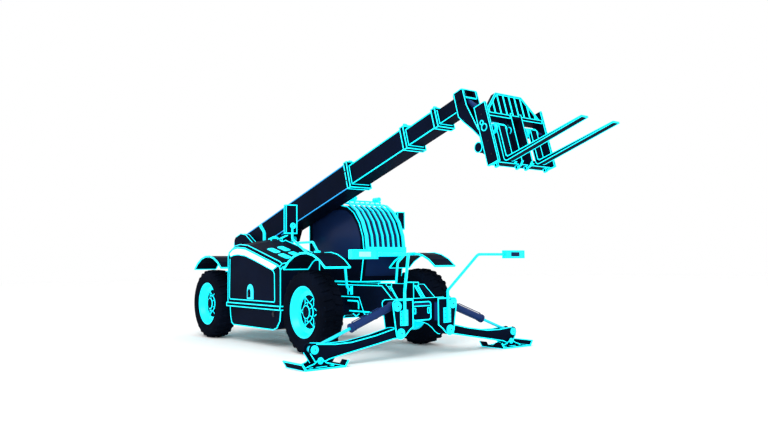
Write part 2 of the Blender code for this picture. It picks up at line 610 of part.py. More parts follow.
def boom():
    outer = (OUTER_WIDTH, OUTER_BELOW, OUTER_ABOVE)
    second = (SECOND_WIDTH, SECOND_BELOW, SECOND_ABOVE)
    third = (THIRD_WIDTH, THIRD_BELOW, THIRD_ABOVE)
    inner = (INNER_WIDTH, INNER_BELOW, INNER_ABOVE)
    lift = pivot("boom", BOOM_PIVOT, turned_by=BOOM_REST_ANGLE)

    # the outer section turns on the tower's pin and has two ears for the lift cylinder under it
    ears, bosses = [], []
    for side in (1, -1):
        ear = [
            (LIFT_EYE.x - 0.24, -OUTER_BELOW + 0.006), *arc((LIFT_EYE.x, LIFT_EYE.z), 0.060, 200, 340, 5),
            (LIFT_EYE.x + 0.24, -OUTER_BELOW + 0.006),
        ]
        ears.append(prism(ear, "y", *sorted((side * LIFT_EAR_INSIDE, side * (LIFT_EAR_INSIDE + 0.025)))))
        bosses.append(rod((0, side * 0.190, 0), (0, side * (TOWER_INSIDE - RUNNING_GAP), 0), 0.095, 20))
    foot_bore = bore((0, -0.5, 0), (0, 0.5, 0), PIVOT_PIN_RADIUS)
    hollow_section("boom_outer_section", outer, OUTER_REAR, OUTER_FRONT, inside=second, parent=lift,
                   extra=ears + bosses, cut=[foot_bore])
    slide_2 = pivot("boom_section_2", (0, 0, 0), lift)
    hollow_section("boom_second_section", second, SECOND_FRONT - SECOND_LENGTH, SECOND_FRONT, inside=third,
                   around=outer, parent=slide_2)
    slide_3 = pivot("boom_section_3", (0, 0, 0), slide_2)
    hollow_section("boom_third_section", third, THIRD_FRONT - THIRD_LENGTH, THIRD_FRONT, inside=inner,
                   around=second, parent=slide_3)
    slide_4 = pivot("boom_section_4", (0, 0, 0), slide_3)
    boom_head(inner, third, slide_4)
    carriage(pivot("carriage", CARRIAGE_PIN, slide_4))
    cylinder("tilt", HEAD_PIN, TILT_EYE, slide_4, (TILT_BARREL_RADIUS, TILT_BARREL_LENGTH),
             (TILT_ROD_RADIUS, TILT_ROD_START), 0.020, 0.024)
    eye = BOOM_PIVOT + Matrix.Rotation(-BOOM_REST_ANGLE, 3, "Y") @ LIFT_EYE
    cylinder("lift", LIFT_BASE, eye, None, (LIFT_BARREL_RADIUS, LIFT_BARREL_LENGTH),
             (LIFT_ROD_RADIUS, LIFT_ROD_START), 0.030, 0.045)


def cylinder(name, base, eye, parent, barrel_size, rod_size, pin_radius, half_width):
    """A hydraulic cylinder in the plane of x and z: a barrel on its pin, and a rod that slides out of it."""
    barrel_radius, barrel_length = barrel_size
    rod_radius, rod_start = rod_size
    span = eye - base
    run, lean = hypot(span.x, span.z), atan2(span.z, span.x)
    barrel_pivot = pivot(name + "_cylinder", base, parent)
    shapes = [rod((barrel_radius + 0.025, 0, 0), (barrel_length, 0, 0), barrel_radius),
              rod((0.01, 0, 0), (barrel_radius + 0.04, 0, 0), half_width * 0.9),
              cross_pin(0, 0, pin_radius + 0.022, half_width)]
    cuts = [rod((BARREL_BASE, 0, 0), (barrel_length + 0.1, 0, 0), rod_radius + RUNNING_GAP),
            bore((0, -0.3, 0), (0, 0.3, 0), pin_radius)]
    barrel = solid(name + "_cylinder_barrel", BLUE, shapes, cuts, pivot=barrel_pivot)
    barrel.rotation_euler = Euler((0, -lean, 0))
    rod_pivot = pivot(name + "_cylinder_rod", (0, 0, 0), barrel_pivot)
    shapes = [rod((rod_start, 0, 0), (run - 0.01, 0, 0), rod_radius),
              cross_pin(run, 0, pin_radius + 0.016, half_width - 0.004)]
    arm = solid(name + "_cylinder_rod", CHROME, shapes, pivot=rod_pivot)
    arm.rotation_euler = Euler((0, -lean, 0))


def boom_head(inner, third, slide):
    """The fourth section with the boom's head: two bent arms and the plates that join them."""
    half, below, above = inner[0] / 2, inner[1], inner[2]
    wall = SECTION_PLATE
    rear = INNER_FRONT - INNER_LENGTH
    shapes = [box((rear, INNER_FRONT - 0.03), (-half, half), (-below, above)), rear_pad(third, rear)]
    cuts = [box((rear - 0.01, INNER_FRONT - 0.06), (wall - half, half - wall), (wall - below, above - wall))]
    pin = (CARRIAGE_PIN.x, CARRIAGE_PIN.z)
    arm = [
        (6.500, 0.160), (6.496, -0.200), (6.562, -0.305), (6.700, -0.490), (6.795, -0.640),
        *arc(pin, 0.080, 175, 375, 7), (6.925, -0.640), (6.800, -0.524), (6.742, -0.317), (6.690, -0.105),
        (6.684, 0.120), *arc((6.655, 0.130), 0.030, 0, 90, 2),
    ]
    for side in (1, -1):
        plate = sorted((side * (HEAD_HALF_WIDTH - HEAD_PLATE - 0.003), side * HEAD_HALF_WIDTH))
        shapes.append(prism(arm, "y", *plate))
    inside = HEAD_HALF_WIDTH - 0.01
    shapes.append(box((INNER_FRONT - 0.06, INNER_FRONT), (-inside, inside), (-0.190, 0.150)))
    shapes.append(box((INNER_FRONT - 0.02, 6.672), (-0.125, 0.125), (0.142, 0.156)))
    shapes.append(box((6.666, 6.680), (-0.125, 0.125), (0.030, 0.150)))
    corners = (((0.05, 0.115), 0), ((-0.05, 0.115), 90), ((-0.05, 0.07), 180), ((0.05, 0.07), 270))
    hole = [point for middle, start in corners for point in arc(middle, 0.018, start, start + 90, 2)]
    cuts.append(prism(hole, "x", 6.655, 6.70))
    shapes.append(cross_pin(HEAD_PIN.x, HEAD_PIN.z, 0.020, HEAD_HALF_WIDTH + 0.02, PIN_SIDES))
    for side in (1, -1):
        face = side * (HEAD_HALF_WIDTH + 0.008)
        shapes.append(cross_pin(HEAD_PIN.x, HEAD_PIN.z, 0.045, 0.012, 16, face))
    cuts.append(bore((pin[0], -0.3, pin[1]), (pin[0], 0.3, pin[1]), 0.045))
    solid("boom_head", PANEL, shapes, cuts, pivot=slide)


def carriage(tilt):
    """The fork carriage, in a frame whose origin is its pin on the boom's head."""
    front, bottom = CARRIAGE_FRONT, CARRIAGE_BOTTOM
    rear, top = front - CARRIAGE_DEPTH, bottom + CARRIAGE_HEIGHT
    half = CARRIAGE_HALF_WIDTH
    inside = half - CARRIAGE_PLATE
    beam_top = top - 0.130
    eye = TILT_EYE - CARRIAGE_PIN
    across = (-inside - 0.01, inside + 0.01)
    shapes = [box((rear + 0.02, front - 0.02), across, (beam_top - 0.045, beam_top))]
    behind_forks = front - 0.020 - FORK_THICKNESS - 0.006
    shapes.append(box((rear + 0.01, behind_forks), across, (bottom + 0.012, bottom + 0.085)))
    hitch = [
        *arc((0, 0), 0.085, 100, 300, 6), (rear + 0.05, bottom + 0.03), (front - 0.05, bottom + 0.03),
        (front - 0.05, beam_top - 0.01), (rear + 0.03, beam_top - 0.01), (rear - 0.02, 0.06),
    ]
    middle_plate = [
        (rear - 0.015, beam_top), (front - 0.004, beam_top + 0.02), (front - 0.004, bottom + 0.03),
        (front - 0.05, bottom - 0.012), (front - 0.10, bottom - 0.012), (rear - 0.015, -0.12),
    ]
    lug = [(rear + 0.04, beam_top - 0.01), *arc((eye.x, eye.z), 0.042, 100, 280, 6), (rear + 0.04, 0.12)]
    shaft = (front - 0.095, bottom + 0.60 * CARRIAGE_HEIGHT)
    for side in (1, -1):
        shapes.append(box((rear, front), sorted((side * inside, side * half)), (bottom, top)))
        shapes.append(prism(hitch, "y", *sorted((side * 0.150, side * 0.175))))
        shapes.append(prism(middle_plate, "y", *sorted((side * 0.078, side * 0.100))))
        shapes.append(prism(lug, "y", *sorted((side * 0.045, side * 0.062))))
        shapes.append(box((eye.x + 0.06, rear + 0.06), sorted((side * 0.050, side * 0.095)), (0.16, 0.21)))
        shapes.append(cross_pin(0, 0, 0.070, 0.085, 16, side * (HEAD_HALF_WIDTH + RUNNING_GAP + 0.085)))
        for y in (0.07, 0.45):
            hook = sorted((side * y, side * (y + 0.03)))
            shapes.append(box((front - 0.14, front - 0.10), hook, (bottom - 0.035, bottom + 0.03)))
    shapes.append(cross_pin(0, 0, 0.045, 0.20, PIN_SIDES))
    shapes.append(cross_pin(shaft[0], shaft[1], 0.035, inside + 0.01, PIN_SIDES))
    shapes += load_guard(front - 0.055, beam_top - 0.01, inside)
    body = solid("carriage", PANEL, shapes, pivot=tilt)
    for side, word in ((1, "left"), (-1, "right")):
        fork(word, side * FORK_SPACING / 2, shaft, tilt)
    return body


def load_guard(x, z, half):
    """The guard over the carriage: flat bars on edge in a trapezoid of the same flats."""
    bar, rear = 0.022, x + 0.011 - LOAD_GUARD_DEPTH
    top, narrow = z + LOAD_GUARD_HEIGHT + 0.02, 0.24
    frame = [((-half, z), (-narrow, top)), ((-narrow, top), (narrow, top)), ((narrow, top), (half, z))]
    shapes = []
    for (y0, z0), (y1, z1) in frame:
        length, lean = hypot(y1 - y0, z1 - z0), atan2(z1 - z0, y1 - y0)
        piece = box((rear, x + bar / 2), (-bar * 0.4, length + bar * 0.4), (-bar / 2, bar / 2))
        turn(piece, lean, "X")
        piece.data.transform(Matrix.Translation((0, y0, z0)))
        shapes.append(piece)
    bars = 9
    for i in range(bars):
        y = -0.44 + 0.88 * i / (bars - 1)
        reach = min(top, z + (half - abs(y)) / (half - narrow) * (top - z))
        shapes.append(box((rear + 0.004, x + 0.007), (y - 0.005, y + 0.005), (z - 0.01, reach)))
    return shapes


def fork(word, y, shaft, tilt):
    """One fork: an eye round the shaft, a shank in front of the beams and a tapering blade."""
    face = CARRIAGE_FRONT - 0.020
    under = CARRIAGE_BOTTOM + 0.026
    back = face - FORK_THICKNESS
    tip = face + FORK_LENGTH
    shaft_x, shaft_z = shaft
    neck = FORK_WIDTH / 2 - 0.010
    outline = [
        (back, shaft_z + 0.02), (back, under + 0.045),
        *arc((back + 0.045, under + 0.045), 0.045, 180, 270, 3),
        (tip, under + FORK_THICKNESS - 0.014), (tip, under + FORK_THICKNESS),
        (face + 0.02, under + FORK_THICKNESS), (face, under + FORK_THICKNESS + 0.02), (face, shaft_z + 0.03),
    ]
    shapes = [
        prism(outline, "y", y - FORK_WIDTH / 2, y + FORK_WIDTH / 2),
        cross_pin(shaft_x, shaft_z, 0.058, neck, 20, y),
        box((shaft_x, face - 0.005), (y - neck, y + neck), (shaft_z - 0.035, shaft_z + 0.045)),
    ]
    cuts = [bore((shaft_x, y - 0.2, shaft_z), (shaft_x, y + 0.2, shaft_z), 0.035)]
    solid("fork_" + word, PANEL, shapes, cuts, pivot=tilt)


# ---------------------------------------------------------------- engine bay
def hood_line(extra=0.0):
    """Side view of the hood's outer top edge, rear to front, moved in by a wall."""
    return [
        (POD_REAR + extra, POD_FLOOR_TOP), (POD_REAR + extra, 1.60), (POD_REAR + 0.04 + extra, 1.675 - extra),
        (-2.62, 1.735 - extra), (-2.42, 1.760 - extra), (-2.10, 1.735 - extra), (-1.73, 1.645 - extra),
        (-0.95, 1.440 - extra), (POD_FRONT - 0.03 - extra, 1.400 - extra), (POD_FRONT - extra, 1.350 - extra),
        (POD_FRONT - extra, POD_FLOOR_TOP),
    ]


def hood_block(extra, floor, inside):
    """The hood as a full block: its inner edge is higher than its outer one, which is cut off."""
    outside = -(POD_OUTSIDE - extra)
    chamfer = 0.05
    bm = bmesh.new()
    rows = []
    for y, drop, rise in ((outside, chamfer, 0.0), (outside + chamfer, 0.0, 0.0), (inside, 0.0, HOOD_RISE)):
        row = []
        for x, z in hood_line(extra):
            low = z <= POD_FLOOR_TOP
            row.append(bm.verts.new((x, y, floor if low else z - drop + rise)))
        rows.append(row)
    count = len(rows[0])
    for a, b in zip(rows, rows[1:]):
        for i in range(count):
            j = (i + 1) % count
            bm.faces.new((a[i], a[j], b[j], b[i]))
    bm.faces.new(rows[0])
    bm.faces.new(rows[-1])
    bmesh.ops.triangulate(bm, faces=bm.faces)
    return shape(bm)


def engine_cover():
    """The hood: side, top and ends in one shell, hinged along its inner top edge."""
    hinge = pivot("engine_cover", HOOD_HINGE)
    inner_edge = -POD_INSIDE - 0.012
    shapes = [hood_block(0.0, POD_FLOOR_TOP + GAP, inner_edge)]
    cuts = [hood_block(HOOD_WALL, POD_FLOOR_TOP - 0.2, inner_edge + 0.2)]
    for x in (-2.45, -2.00):
        lug = [
            (-POD_INSIDE - 0.10, 1.80), (-POD_INSIDE - 0.10, 1.87),
            *arc((HOOD_HINGE.y, HOOD_HINGE.z), 0.024, 110, -80, 6), (-POD_INSIDE - 0.02, 1.835),
        ]
        shapes.append(prism(lug, "x", x - 0.035, x + 0.035))
        cuts.append(bore((x - 0.1, HOOD_HINGE.y, HOOD_HINGE.z), (x + 0.1, HOOD_HINGE.y, HOOD_HINGE.z), 0.012))
    cover = solid("engine_cover", PANEL, shapes, cuts, pivot=hinge)
    cover.data.transform(Matrix.Translation(-HOOD_HINGE))


def engine_bay():
    """The floor and the inner wall of the engine bay, with the hood's hinge pin on the wall."""
    wall = (-POD_INSIDE - 0.002, -RAIL_OUTSIDE - GAP)
    floor = (POD_FLOOR_TOP - 0.060, POD_FLOOR_TOP)
    outline = [
        (POD_REAR + 0.03, floor[0]), (POD_FRONT - 0.03, floor[0]), (POD_FRONT - 0.03, 1.37),
        (-1.10, 1.50), (-1.73, 1.70), (-1.95, 1.76), (-2.60, 1.76), (POD_REAR + 0.03, 1.62),
    ]
    shapes = [
        prism(outline, "y", wall[0] - 0.016, wall[1]),
        box((POD_REAR - 0.015, POD_FRONT + 0.015), (-POD_OUTSIDE - 0.018, wall[1]), floor),
    ]
    y, z = HOOD_HINGE.y, HOOD_HINGE.z
    shapes.append(rod((-2.60, y, z), (-1.85, y, z), 0.012, PIN_SIDES))
    for x in (-2.56, -2.225, -1.89):
        post = [
            (wall[1] - 0.006, 1.60), (wall[1], 1.60),
            (HOOD_HINGE.y + 0.014, HOOD_HINGE.z + 0.005), (HOOD_HINGE.y - 0.014, HOOD_HINGE.z + 0.005),
        ]
        shapes.append(prism(post, "x", x - 0.02, x + 0.02))
    solid("engine_bay", STEEL, shapes)
    block = box((-2.45, -1.35), (-1.02, -0.55), (POD_FLOOR_TOP + GAP, 1.30))
    solid("engine_block", STEEL, [block])
    skirt = [
        (-2.62, 0.30), (-1.13, 0.30), (-1.00, 0.34), (-0.90, 0.46), (POD_FRONT - 0.04, floor[0] - GAP),
        (POD_REAR + 0.03, floor[0] - GAP), (-2.74, 0.44), (-2.70, 0.34),
    ]
    solid("fuel_tank", PANEL, [prism(skirt, "y", -POD_OUTSIDE + 0.03, -RAIL_OUTSIDE - 0.02)])


def exhaust():
    """A short bent stack behind the hood, on the tower's right side."""
    x, y = -2.930, -0.380
    path = rounded([(x, y, 1.16), (x, y, 2.02), (x - 0.17, y, 2.16)], 0.10)
    foot = box((x - 0.04, x + 0.04), (y - 0.04, y + 0.04), (CHASSIS_TOP + GAP, 1.20))
    shapes = [tube(path, 0.030, 10), foot]
    solid("exhaust_stack", GLOW, shapes)


# ---------------------------------------------------------------- cab
def screen_line(offset=0.0):
    """Side view of the windscreen, top to bottom: a quarter of an ellipse, moved in by an offset."""
    top_x, foot_x, top_z, foot_z = -1.28, -0.555, CAB_ROOF, 1.60
    points = []
    for i in range(SCREEN_STEPS + 1):
        turn_by = radians(90 - 90 * i / SCREEN_STEPS)
        x = top_x + (foot_x - top_x - offset) * cos(turn_by)
        z = foot_z + (top_z - foot_z - offset) * sin(turn_by)
        points.append((x, z))
    return points


def cab_side(offset=0.0):
    """Side view of the cab, moved in by an offset."""
    return [
        (CAB_REAR + offset, CAB_FLOOR + offset), (CAB_REAR + offset, CAB_ROOF - 0.10 - offset),
        (CAB_REAR + 0.10 + offset, CAB_ROOF - offset), *screen_line(offset),
        (-0.66 - offset, CAB_FLOOR + offset),
    ]


def side_window(shrink=0.0):
    """The outline of the right side window, between the posts."""
    post = CAB_POST + shrink
    curve = [(x, z) for x, z in screen_line(post) if z > 1.60][1:]
    return [
        (CAB_REAR + post, 1.50 + shrink), (CAB_REAR + post, CAB_ROOF - post - 0.06),
        (CAB_REAR + post + 0.06, CAB_ROOF - post), (-1.32, CAB_ROOF - post),
        *[(x, z) for x, z in curve], (-0.60 - post, 1.50 + shrink),
    ]


def door_outline(shrink=0.0):
    """The outline of the door's opening in the left wall."""
    s = shrink
    return [
        (DOOR_REAR + s, CAB_FLOOR + 0.10 + s), (DOOR_REAR + s, CAB_ROOF - 0.10 - s),
        (DOOR_FRONT - s, CAB_ROOF - 0.10 - s), (DOOR_FRONT - s, CAB_FLOOR + 0.10 + s),
    ]


def cab():
    """The cab's shell, its glass, its door and what stands in it."""
    right, left = CAB_RIGHT, CAB_LEFT
    shell = prism(cab_side(), "y", right, left)
    hollow = prism(cab_side(CAB_WALL), "y", right + CAB_WALL, left - CAB_WALL)
    screen = (right + CAB_POST, left - CAB_POST)
    front_cut = box((-1.20, 0.0), screen, (SCREEN_BOTTOM, 2.40))
    rear_cut = box((CAB_REAR - 0.1, CAB_REAR + 0.1), screen, (1.65, 2.28))
    side_cut = prism(side_window(), "y", right - 0.1, right + 0.1)
    door_cut = prism(door_outline(), "y", left - 0.1, left + 0.1)
    solid("cab_shell", PANEL, [shell], [hollow, front_cut, rear_cut, side_cut, door_cut])

    inset = 0.018
    strip = cab_side(inset)
    pane = prism(strip, "y", screen[0] + GAP, screen[1] - GAP)
    keep_out = [
        prism(cab_side(inset + GLASS), "y", right, left),
        box((-3.0, -1.20 + GAP), (0, 2), (0.5, 3)),
        box((-1.5, 0.0), (0, 2), (0.5, SCREEN_BOTTOM + GAP)),
        box((-1.5, 0.0), (0, 2), (2.40 - GAP, 3)),
    ]
    solid("windscreen", PANE, [pane], keep_out)
    solid("right_window", PANE, [prism(side_window(GAP), "y", right + inset, right + inset + GLASS)])
    between = (screen[0] + GAP, screen[1] - GAP)
    rear_pane = box((CAB_REAR + inset, CAB_REAR + inset + GLASS), between, (1.65 + GAP, 2.28 - GAP))
    solid("rear_window", PANE, [rear_pane])
    cab_door()
    seat_x, seat_y = -1.86, (right + left) / 2
    floor = CAB_FLOOR + CAB_WALL + GAP
    solid("seat", CLOTH, [
        box((seat_x - 0.16, seat_x + 0.16), (seat_y - 0.15, seat_y + 0.15), (floor, floor + 0.32)),
        box((seat_x - 0.24, seat_x + 0.26), (seat_y - 0.25, seat_y + 0.25), (floor + 0.30, floor + 0.43)),
        box((seat_x - 0.34, seat_x - 0.22), (seat_y - 0.24, seat_y + 0.24), (floor + 0.36, floor + 1.02)),
    ])
    wheel_at = Vector((-1.22, seat_y, floor + 0.66))
    ring = turned([(0.165, -0.014), (0.195, -0.014), (0.195, 0.014), (0.165, 0.014)], 16)
    turn(ring, radians(90), "X")
    ring.data.transform(Matrix.Translation(wheel_at) @ Matrix.Rotation(radians(-30), 4, "Y"))
    spoke = box((-0.02, 0.02), (-0.175, 0.175), (-0.008, 0.008))
    spoke.data.transform(Matrix.Translation(wheel_at) @ Matrix.Rotation(radians(-30), 4, "Y"))
    post = rod((-0.99, seat_y, floor + 0.04), wheel_at, 0.035)
    foot = box((-1.06, -0.86), (seat_y - 0.20, seat_y + 0.20), (floor, floor + 0.30))
    solid("steering_column", STEEL, [foot, post, spoke, ring])


def cab_door():
    """The left door: a frame as thick as the wall, with its window, hinged on its rear edge."""
    hinge_at = Vector((DOOR_REAR - 0.012, CAB_LEFT + 0.018, 0))
    hinge = pivot("cab_door", hinge_at)
    gap = 0.006
    inner, outer = CAB_LEFT - CAB_WALL + 0.004, CAB_LEFT + 0.004
    frame = prism(door_outline(gap), "y", inner, outer)
    post = 0.060
    s = gap + post
    window = [
        (DOOR_REAR + s, 1.62), (DOOR_REAR + s, CAB_ROOF - 0.10 - s),
        (DOOR_FRONT - s, CAB_ROOF - 0.10 - s), (DOOR_FRONT - s, 1.62),
    ]
    shapes = [frame]
    strap = (CAB_LEFT + RUNNING_GAP, CAB_LEFT + 0.026)
    for z in (1.30, 2.05):
        shapes.append(box((DOOR_REAR - 0.012, DOOR_REAR + 0.07), strap, (z - 0.03, z + 0.03)))
        shapes.append(rod((hinge_at.x, hinge_at.y, z - 0.03), (hinge_at.x, hinge_at.y, z + 0.03), 0.013, 12))
    cuts = [prism(window, "y", inner - 0.1, outer + 0.1)]
    door = solid("cab_door", PANEL, shapes, cuts, pivot=hinge)
    shrunk = [
        (DOOR_REAR + s + GAP, 1.62 + GAP), (DOOR_REAR + s + GAP, CAB_ROOF - 0.10 - s - GAP),
        (DOOR_FRONT - s - GAP, CAB_ROOF - 0.10 - s - GAP), (DOOR_FRONT - s - GAP, 1.62 + GAP),
    ]
    pane = solid("door_window", PANE, [prism(shrunk, "y", inner + 0.02, inner + 0.02 + GLASS)], pivot=hinge)
    for obj in (door, pane):
        obj.data.transform(Matrix.Translation(-hinge_at))


def windscreen_guard():
    """Bars over the windscreen and the roof's front, between a roof band and a wide foot band."""
    right, left = CAB_RIGHT + 0.012, CAB_LEFT - 0.012
    out = -0.055
    line = screen_line(out)
    outside = screen_line(out - 0.012)
    inside = screen_line(out + 0.014)
    top_x, top_z = line[0]
    foot_x, foot_z = line[-1]
    rail_x, rail_z = top_x + 0.060, top_z + 0.032
    shapes = []
    for i in range(GUARD_BARS):
        y = right + 0.03 + (left - right - 0.06) * i / (GUARD_BARS - 1)
        width = 0.030 if i in (0, GUARD_BARS - 1) else 0.016
        shapes.append(prism(outside + inside[::-1], "y", y - width, y + width))
        shapes.append(box((rail_x - 0.012, rail_x + 0.012), (y - 0.012, y + 0.012), (top_z, rail_z)))
    shapes.append(prism(outside[:2] + inside[1::-1], "y", right, left))
    shapes.append(box((top_x - 0.05, top_x + 0.01), (right, left), (top_z - 0.014, top_z + 0.012)))
    shapes.append(box((foot_x - 0.026, foot_x + 0.026), (right, left), (foot_z - 0.090, foot_z + 0.080)))
    shapes.append(rod((rail_x, right + 0.015, rail_z), (rail_x, left - 0.015, rail_z), 0.016, 10))
    for y in (right + 0.03, left - 0.03):
        across = (y - 0.02, y + 0.02)
        shapes.append(box((foot_x - 0.055 + GAP, foot_x), across, (foot_z - 0.03, foot_z - 0.001)))
        shapes.append(box((top_x - 0.03, top_x + 0.01), across, (CAB_ROOF + GAP, top_z)))
    for y in (right + 0.220, left - 0.110):
        lamp_z = rail_z + 0.045
        shapes.append(box((rail_x - 0.015, rail_x + 0.015), (y - 0.015, y + 0.015), (rail_z, lamp_z)))
        shapes.append(rod((rail_x - 0.080, y, lamp_z), (rail_x + 0.090, y, lamp_z), ROOF_LAMP_RADIUS, 14))
    solid("windscreen_guard", GLOW, shapes)


def left_mirror():
    """A mirror on an arm from the cab's left front post."""
    z = 2.300
    path = rounded([(-1.02, CAB_LEFT + 0.010, z), (-1.02, 1.30, z), (-0.78, 1.30, z)], 0.05)
    foot = box((-1.06, -0.98), (CAB_LEFT + GAP, CAB_LEFT + 0.015), (z - 0.04, z + 0.04))
    arm = tube(path, 0.014)
    housing = box((-0.81, -0.755), (1.215, 1.375), (2.020, 2.335))
    solid("left_mirror", PANEL, [foot, arm, housing])


def right_mirror():
    """A mirror on a bent stand with two feet on the front right mudguard."""
    y, back, rail = -1.07, -0.690, 1.735
    housing = box((back - 0.065, back), (y - 0.10, y + 0.10), (1.900, 2.365))
    ball = rod((back - 0.01, y, 2.02), (back + 0.045, y, 2.02), 0.045, 14)
    stem = back + 0.025
    stand = rounded([
        (stem, y, 2.02), (stem, y, 1.81), (stem + 0.12, y, rail), (-0.03, y, rail), (0.115, y, 1.585),
    ], 0.04)
    brace = [Vector((stem + 0.13, y, rail)), Vector((-0.17, y, mudguard_top(-0.17) + 0.020))]
    pads = []
    for x in (0.10, -0.17):
        pads.append((x, mudguard_top(x)))
    shapes = [housing, ball, tube(stand, 0.016), tube(brace, 0.016)]
    for x, z in pads:
        slope = atan2(mudguard_top(x + 0.01) - mudguard_top(x - 0.01), 0.02)
        pad = box((-0.035, 0.035), (y - 0.03, y + 0.03), (GAP, 0.020))
        pad.data.transform(Matrix.Translation((x, 0, z)) @ Matrix.Rotation(-slope, 4, "Y"))
        shapes.append(pad)
    solid("right_mirror", PANEL, shapes)


def lamp_stalk(word, side):
    """A work lamp on a bent tube, bolted to the front lug plate."""
    face = STABILISER_X + LUG_GAP / 2 + LUG_PLATE
    y = 0.425
    inner_end = LAMP_REACH - LAMP_LENGTH
    path = rounded([
        (face + 0.028, y, 0.60), (face + 0.028, y, 0.97),
        (LAMP_X, 0.68, LAMP_Z), (LAMP_X, inner_end + 0.02, LAMP_Z),
    ], 0.05)
    plate = box((face + GAP, face + 0.012), (0.350, 0.445), (0.480, 0.710))
    clamp = box((face + 0.010, face + 0.045), (y - 0.020, y + 0.020), (0.50, 0.70))
    deep, high = LAMP_DEPTH / 2, LAMP_HEIGHT / 2
    head = box((LAMP_X - deep, LAMP_X + deep), (inner_end, LAMP_REACH), (LAMP_Z - high, LAMP_Z + high))
    solid(word + "_lamp_stalk", GLOW, [plate, clamp, tube(path, 0.022), head], side=side)


# ---------------------------------------------------------------- sheet metal
def mudguard_top(x):
    """Height of the mudguard's outer face above the ground, at a distance x in front of its axle."""
    points = arc(MUDGUARD_CENTRE, MUDGUARD_RADIUS, MUDGUARD_START, MUDGUARD_END, MUDGUARD_FACETS)
    for (x1, z1), (x0, z0) in zip(points, points[1:]):
        if x0 <= x <= x1:
            return z0 + (z1 - z0) * (x - x0) / (x1 - x0)
    return points[0][1]


def mudguard(name, x, side):
    """A rolled plate over a tyre, on a stay from the chassis rail."""
    start, end = MUDGUARD_START, MUDGUARD_END
    outer = arc(MUDGUARD_CENTRE, MUDGUARD_RADIUS, start, end, MUDGUARD_FACETS)
    inner = arc(MUDGUARD_CENTRE, MUDGUARD_RADIUS - MUDGUARD_PLATE, end, start, MUDGUARD_FACETS)
    edge = WHEEL_TRACK / 2 + TYRE_WIDTH / 2
    skin = prism(outer + inner, "y", edge - MUDGUARD_WIDTH, edge)
    foot = box((0.04, 0.12), (RAIL_OUTSIDE + GAP, RAIL_OUTSIDE + 0.030), (0.90, 1.03))
    path = rounded([
        (0.08, RAIL_OUTSIDE + 0.022, 0.96), (0.08, RAIL_OUTSIDE + 0.08, 1.02),
        (0.08, RAIL_OUTSIDE + 0.12, 1.40), (0.08, 0.70, MUDGUARD_CENTRE[1] + MUDGUARD_RADIUS - 0.030),
        (0.08, 1.12, MUDGUARD_CENTRE[1] + MUDGUARD_RADIUS - 0.022),
    ], 0.06, 3)
    obj = solid(name, PANEL, [skin, foot, tube(path, 0.018, 6)], side=side)
    obj.location.x = x
    return obj


def left_tank():
    """The hydraulic tank under the cab, with two steps in front of the door."""
    floor = CHASSIS_TOP - 0.09 - GAP
    tank = [(-2.30, 0.46), (-2.22, 0.40), (-1.40, 0.40), (-1.32, 0.46), (-1.32, floor), (-2.30, floor)]
    shapes = [prism(tank, "y", RAIL_OUTSIDE + GAP, 1.02)]
    for z, reach in ((0.42, 1.18), (0.72, 1.14)):
        shapes.append(box((-2.10, -1.50), (1.00, reach), (z, z + 0.035)))
    solid("hydraulic_tank", PANEL, shapes)


def all_parts():
    axle("front_axle", 0.0)
    axle("rear_axle", -WHEELBASE)
    main_frame()
    counterweight()
    stabiliser_frame()
    engine_bay()
    engine_cover()
    exhaust()
    left_tank()
    cab()
    windscreen_guard()
    left_mirror()
    right_mirror()
    for word, x in (("front", 0.0), ("rear", -WHEELBASE)):
        for hand, side in (("left", 1), ("right", -1)):
            mudguard(word + "_" + hand + "_mudguard", x, side)
    for hand, side in (("left", 1), ("right", -1)):
        stabiliser(hand, side)
        lamp_stalk(hand, side)
    boom()


def put_origin_under_the_middle():
    """Moves the machine so that the middle of its box is over the origin and its wheels stand at z = 0."""
    bpy.context.view_layer.update()
    low, high = Vector((1e9,) * 3), Vector((-1e9,) * 3)
    for obj in bpy.context.scene.objects:
        if obj.type != "MESH":
            continue
        for vertex in obj.data.vertices:
            place = obj.matrix_world @ vertex.co
            low = Vector(map(min, low, place))
            high = Vector(map(max, high, place))
    MACHINE.location = (-(low.x + high.x) / 2, -(low.y + high.y) / 2, -low.z)


for existing in list(bpy.data.objects):
    bpy.data.objects.remove(existing)
MACHINE = bpy.data.objects.new("machine", None)
bpy.context.collection.objects.link(MACHINE)
all_parts()
put_origin_under_the_middle()
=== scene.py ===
"""The looks of a telehandler: navy enamel panels, bright cyan piping on every edge, tyres, rims, glass,
boom fittings, fork carriage and stabilisers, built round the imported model.

Everything is in metres, +X to the front, +Y to the left and +Z up. Each section below dresses one part of
the machine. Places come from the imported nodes' boxes and from its joints.
"""
import json
from math import cos, hypot, pi, radians, sin

import bmesh
import bpy
from mathutils import Matrix, Vector


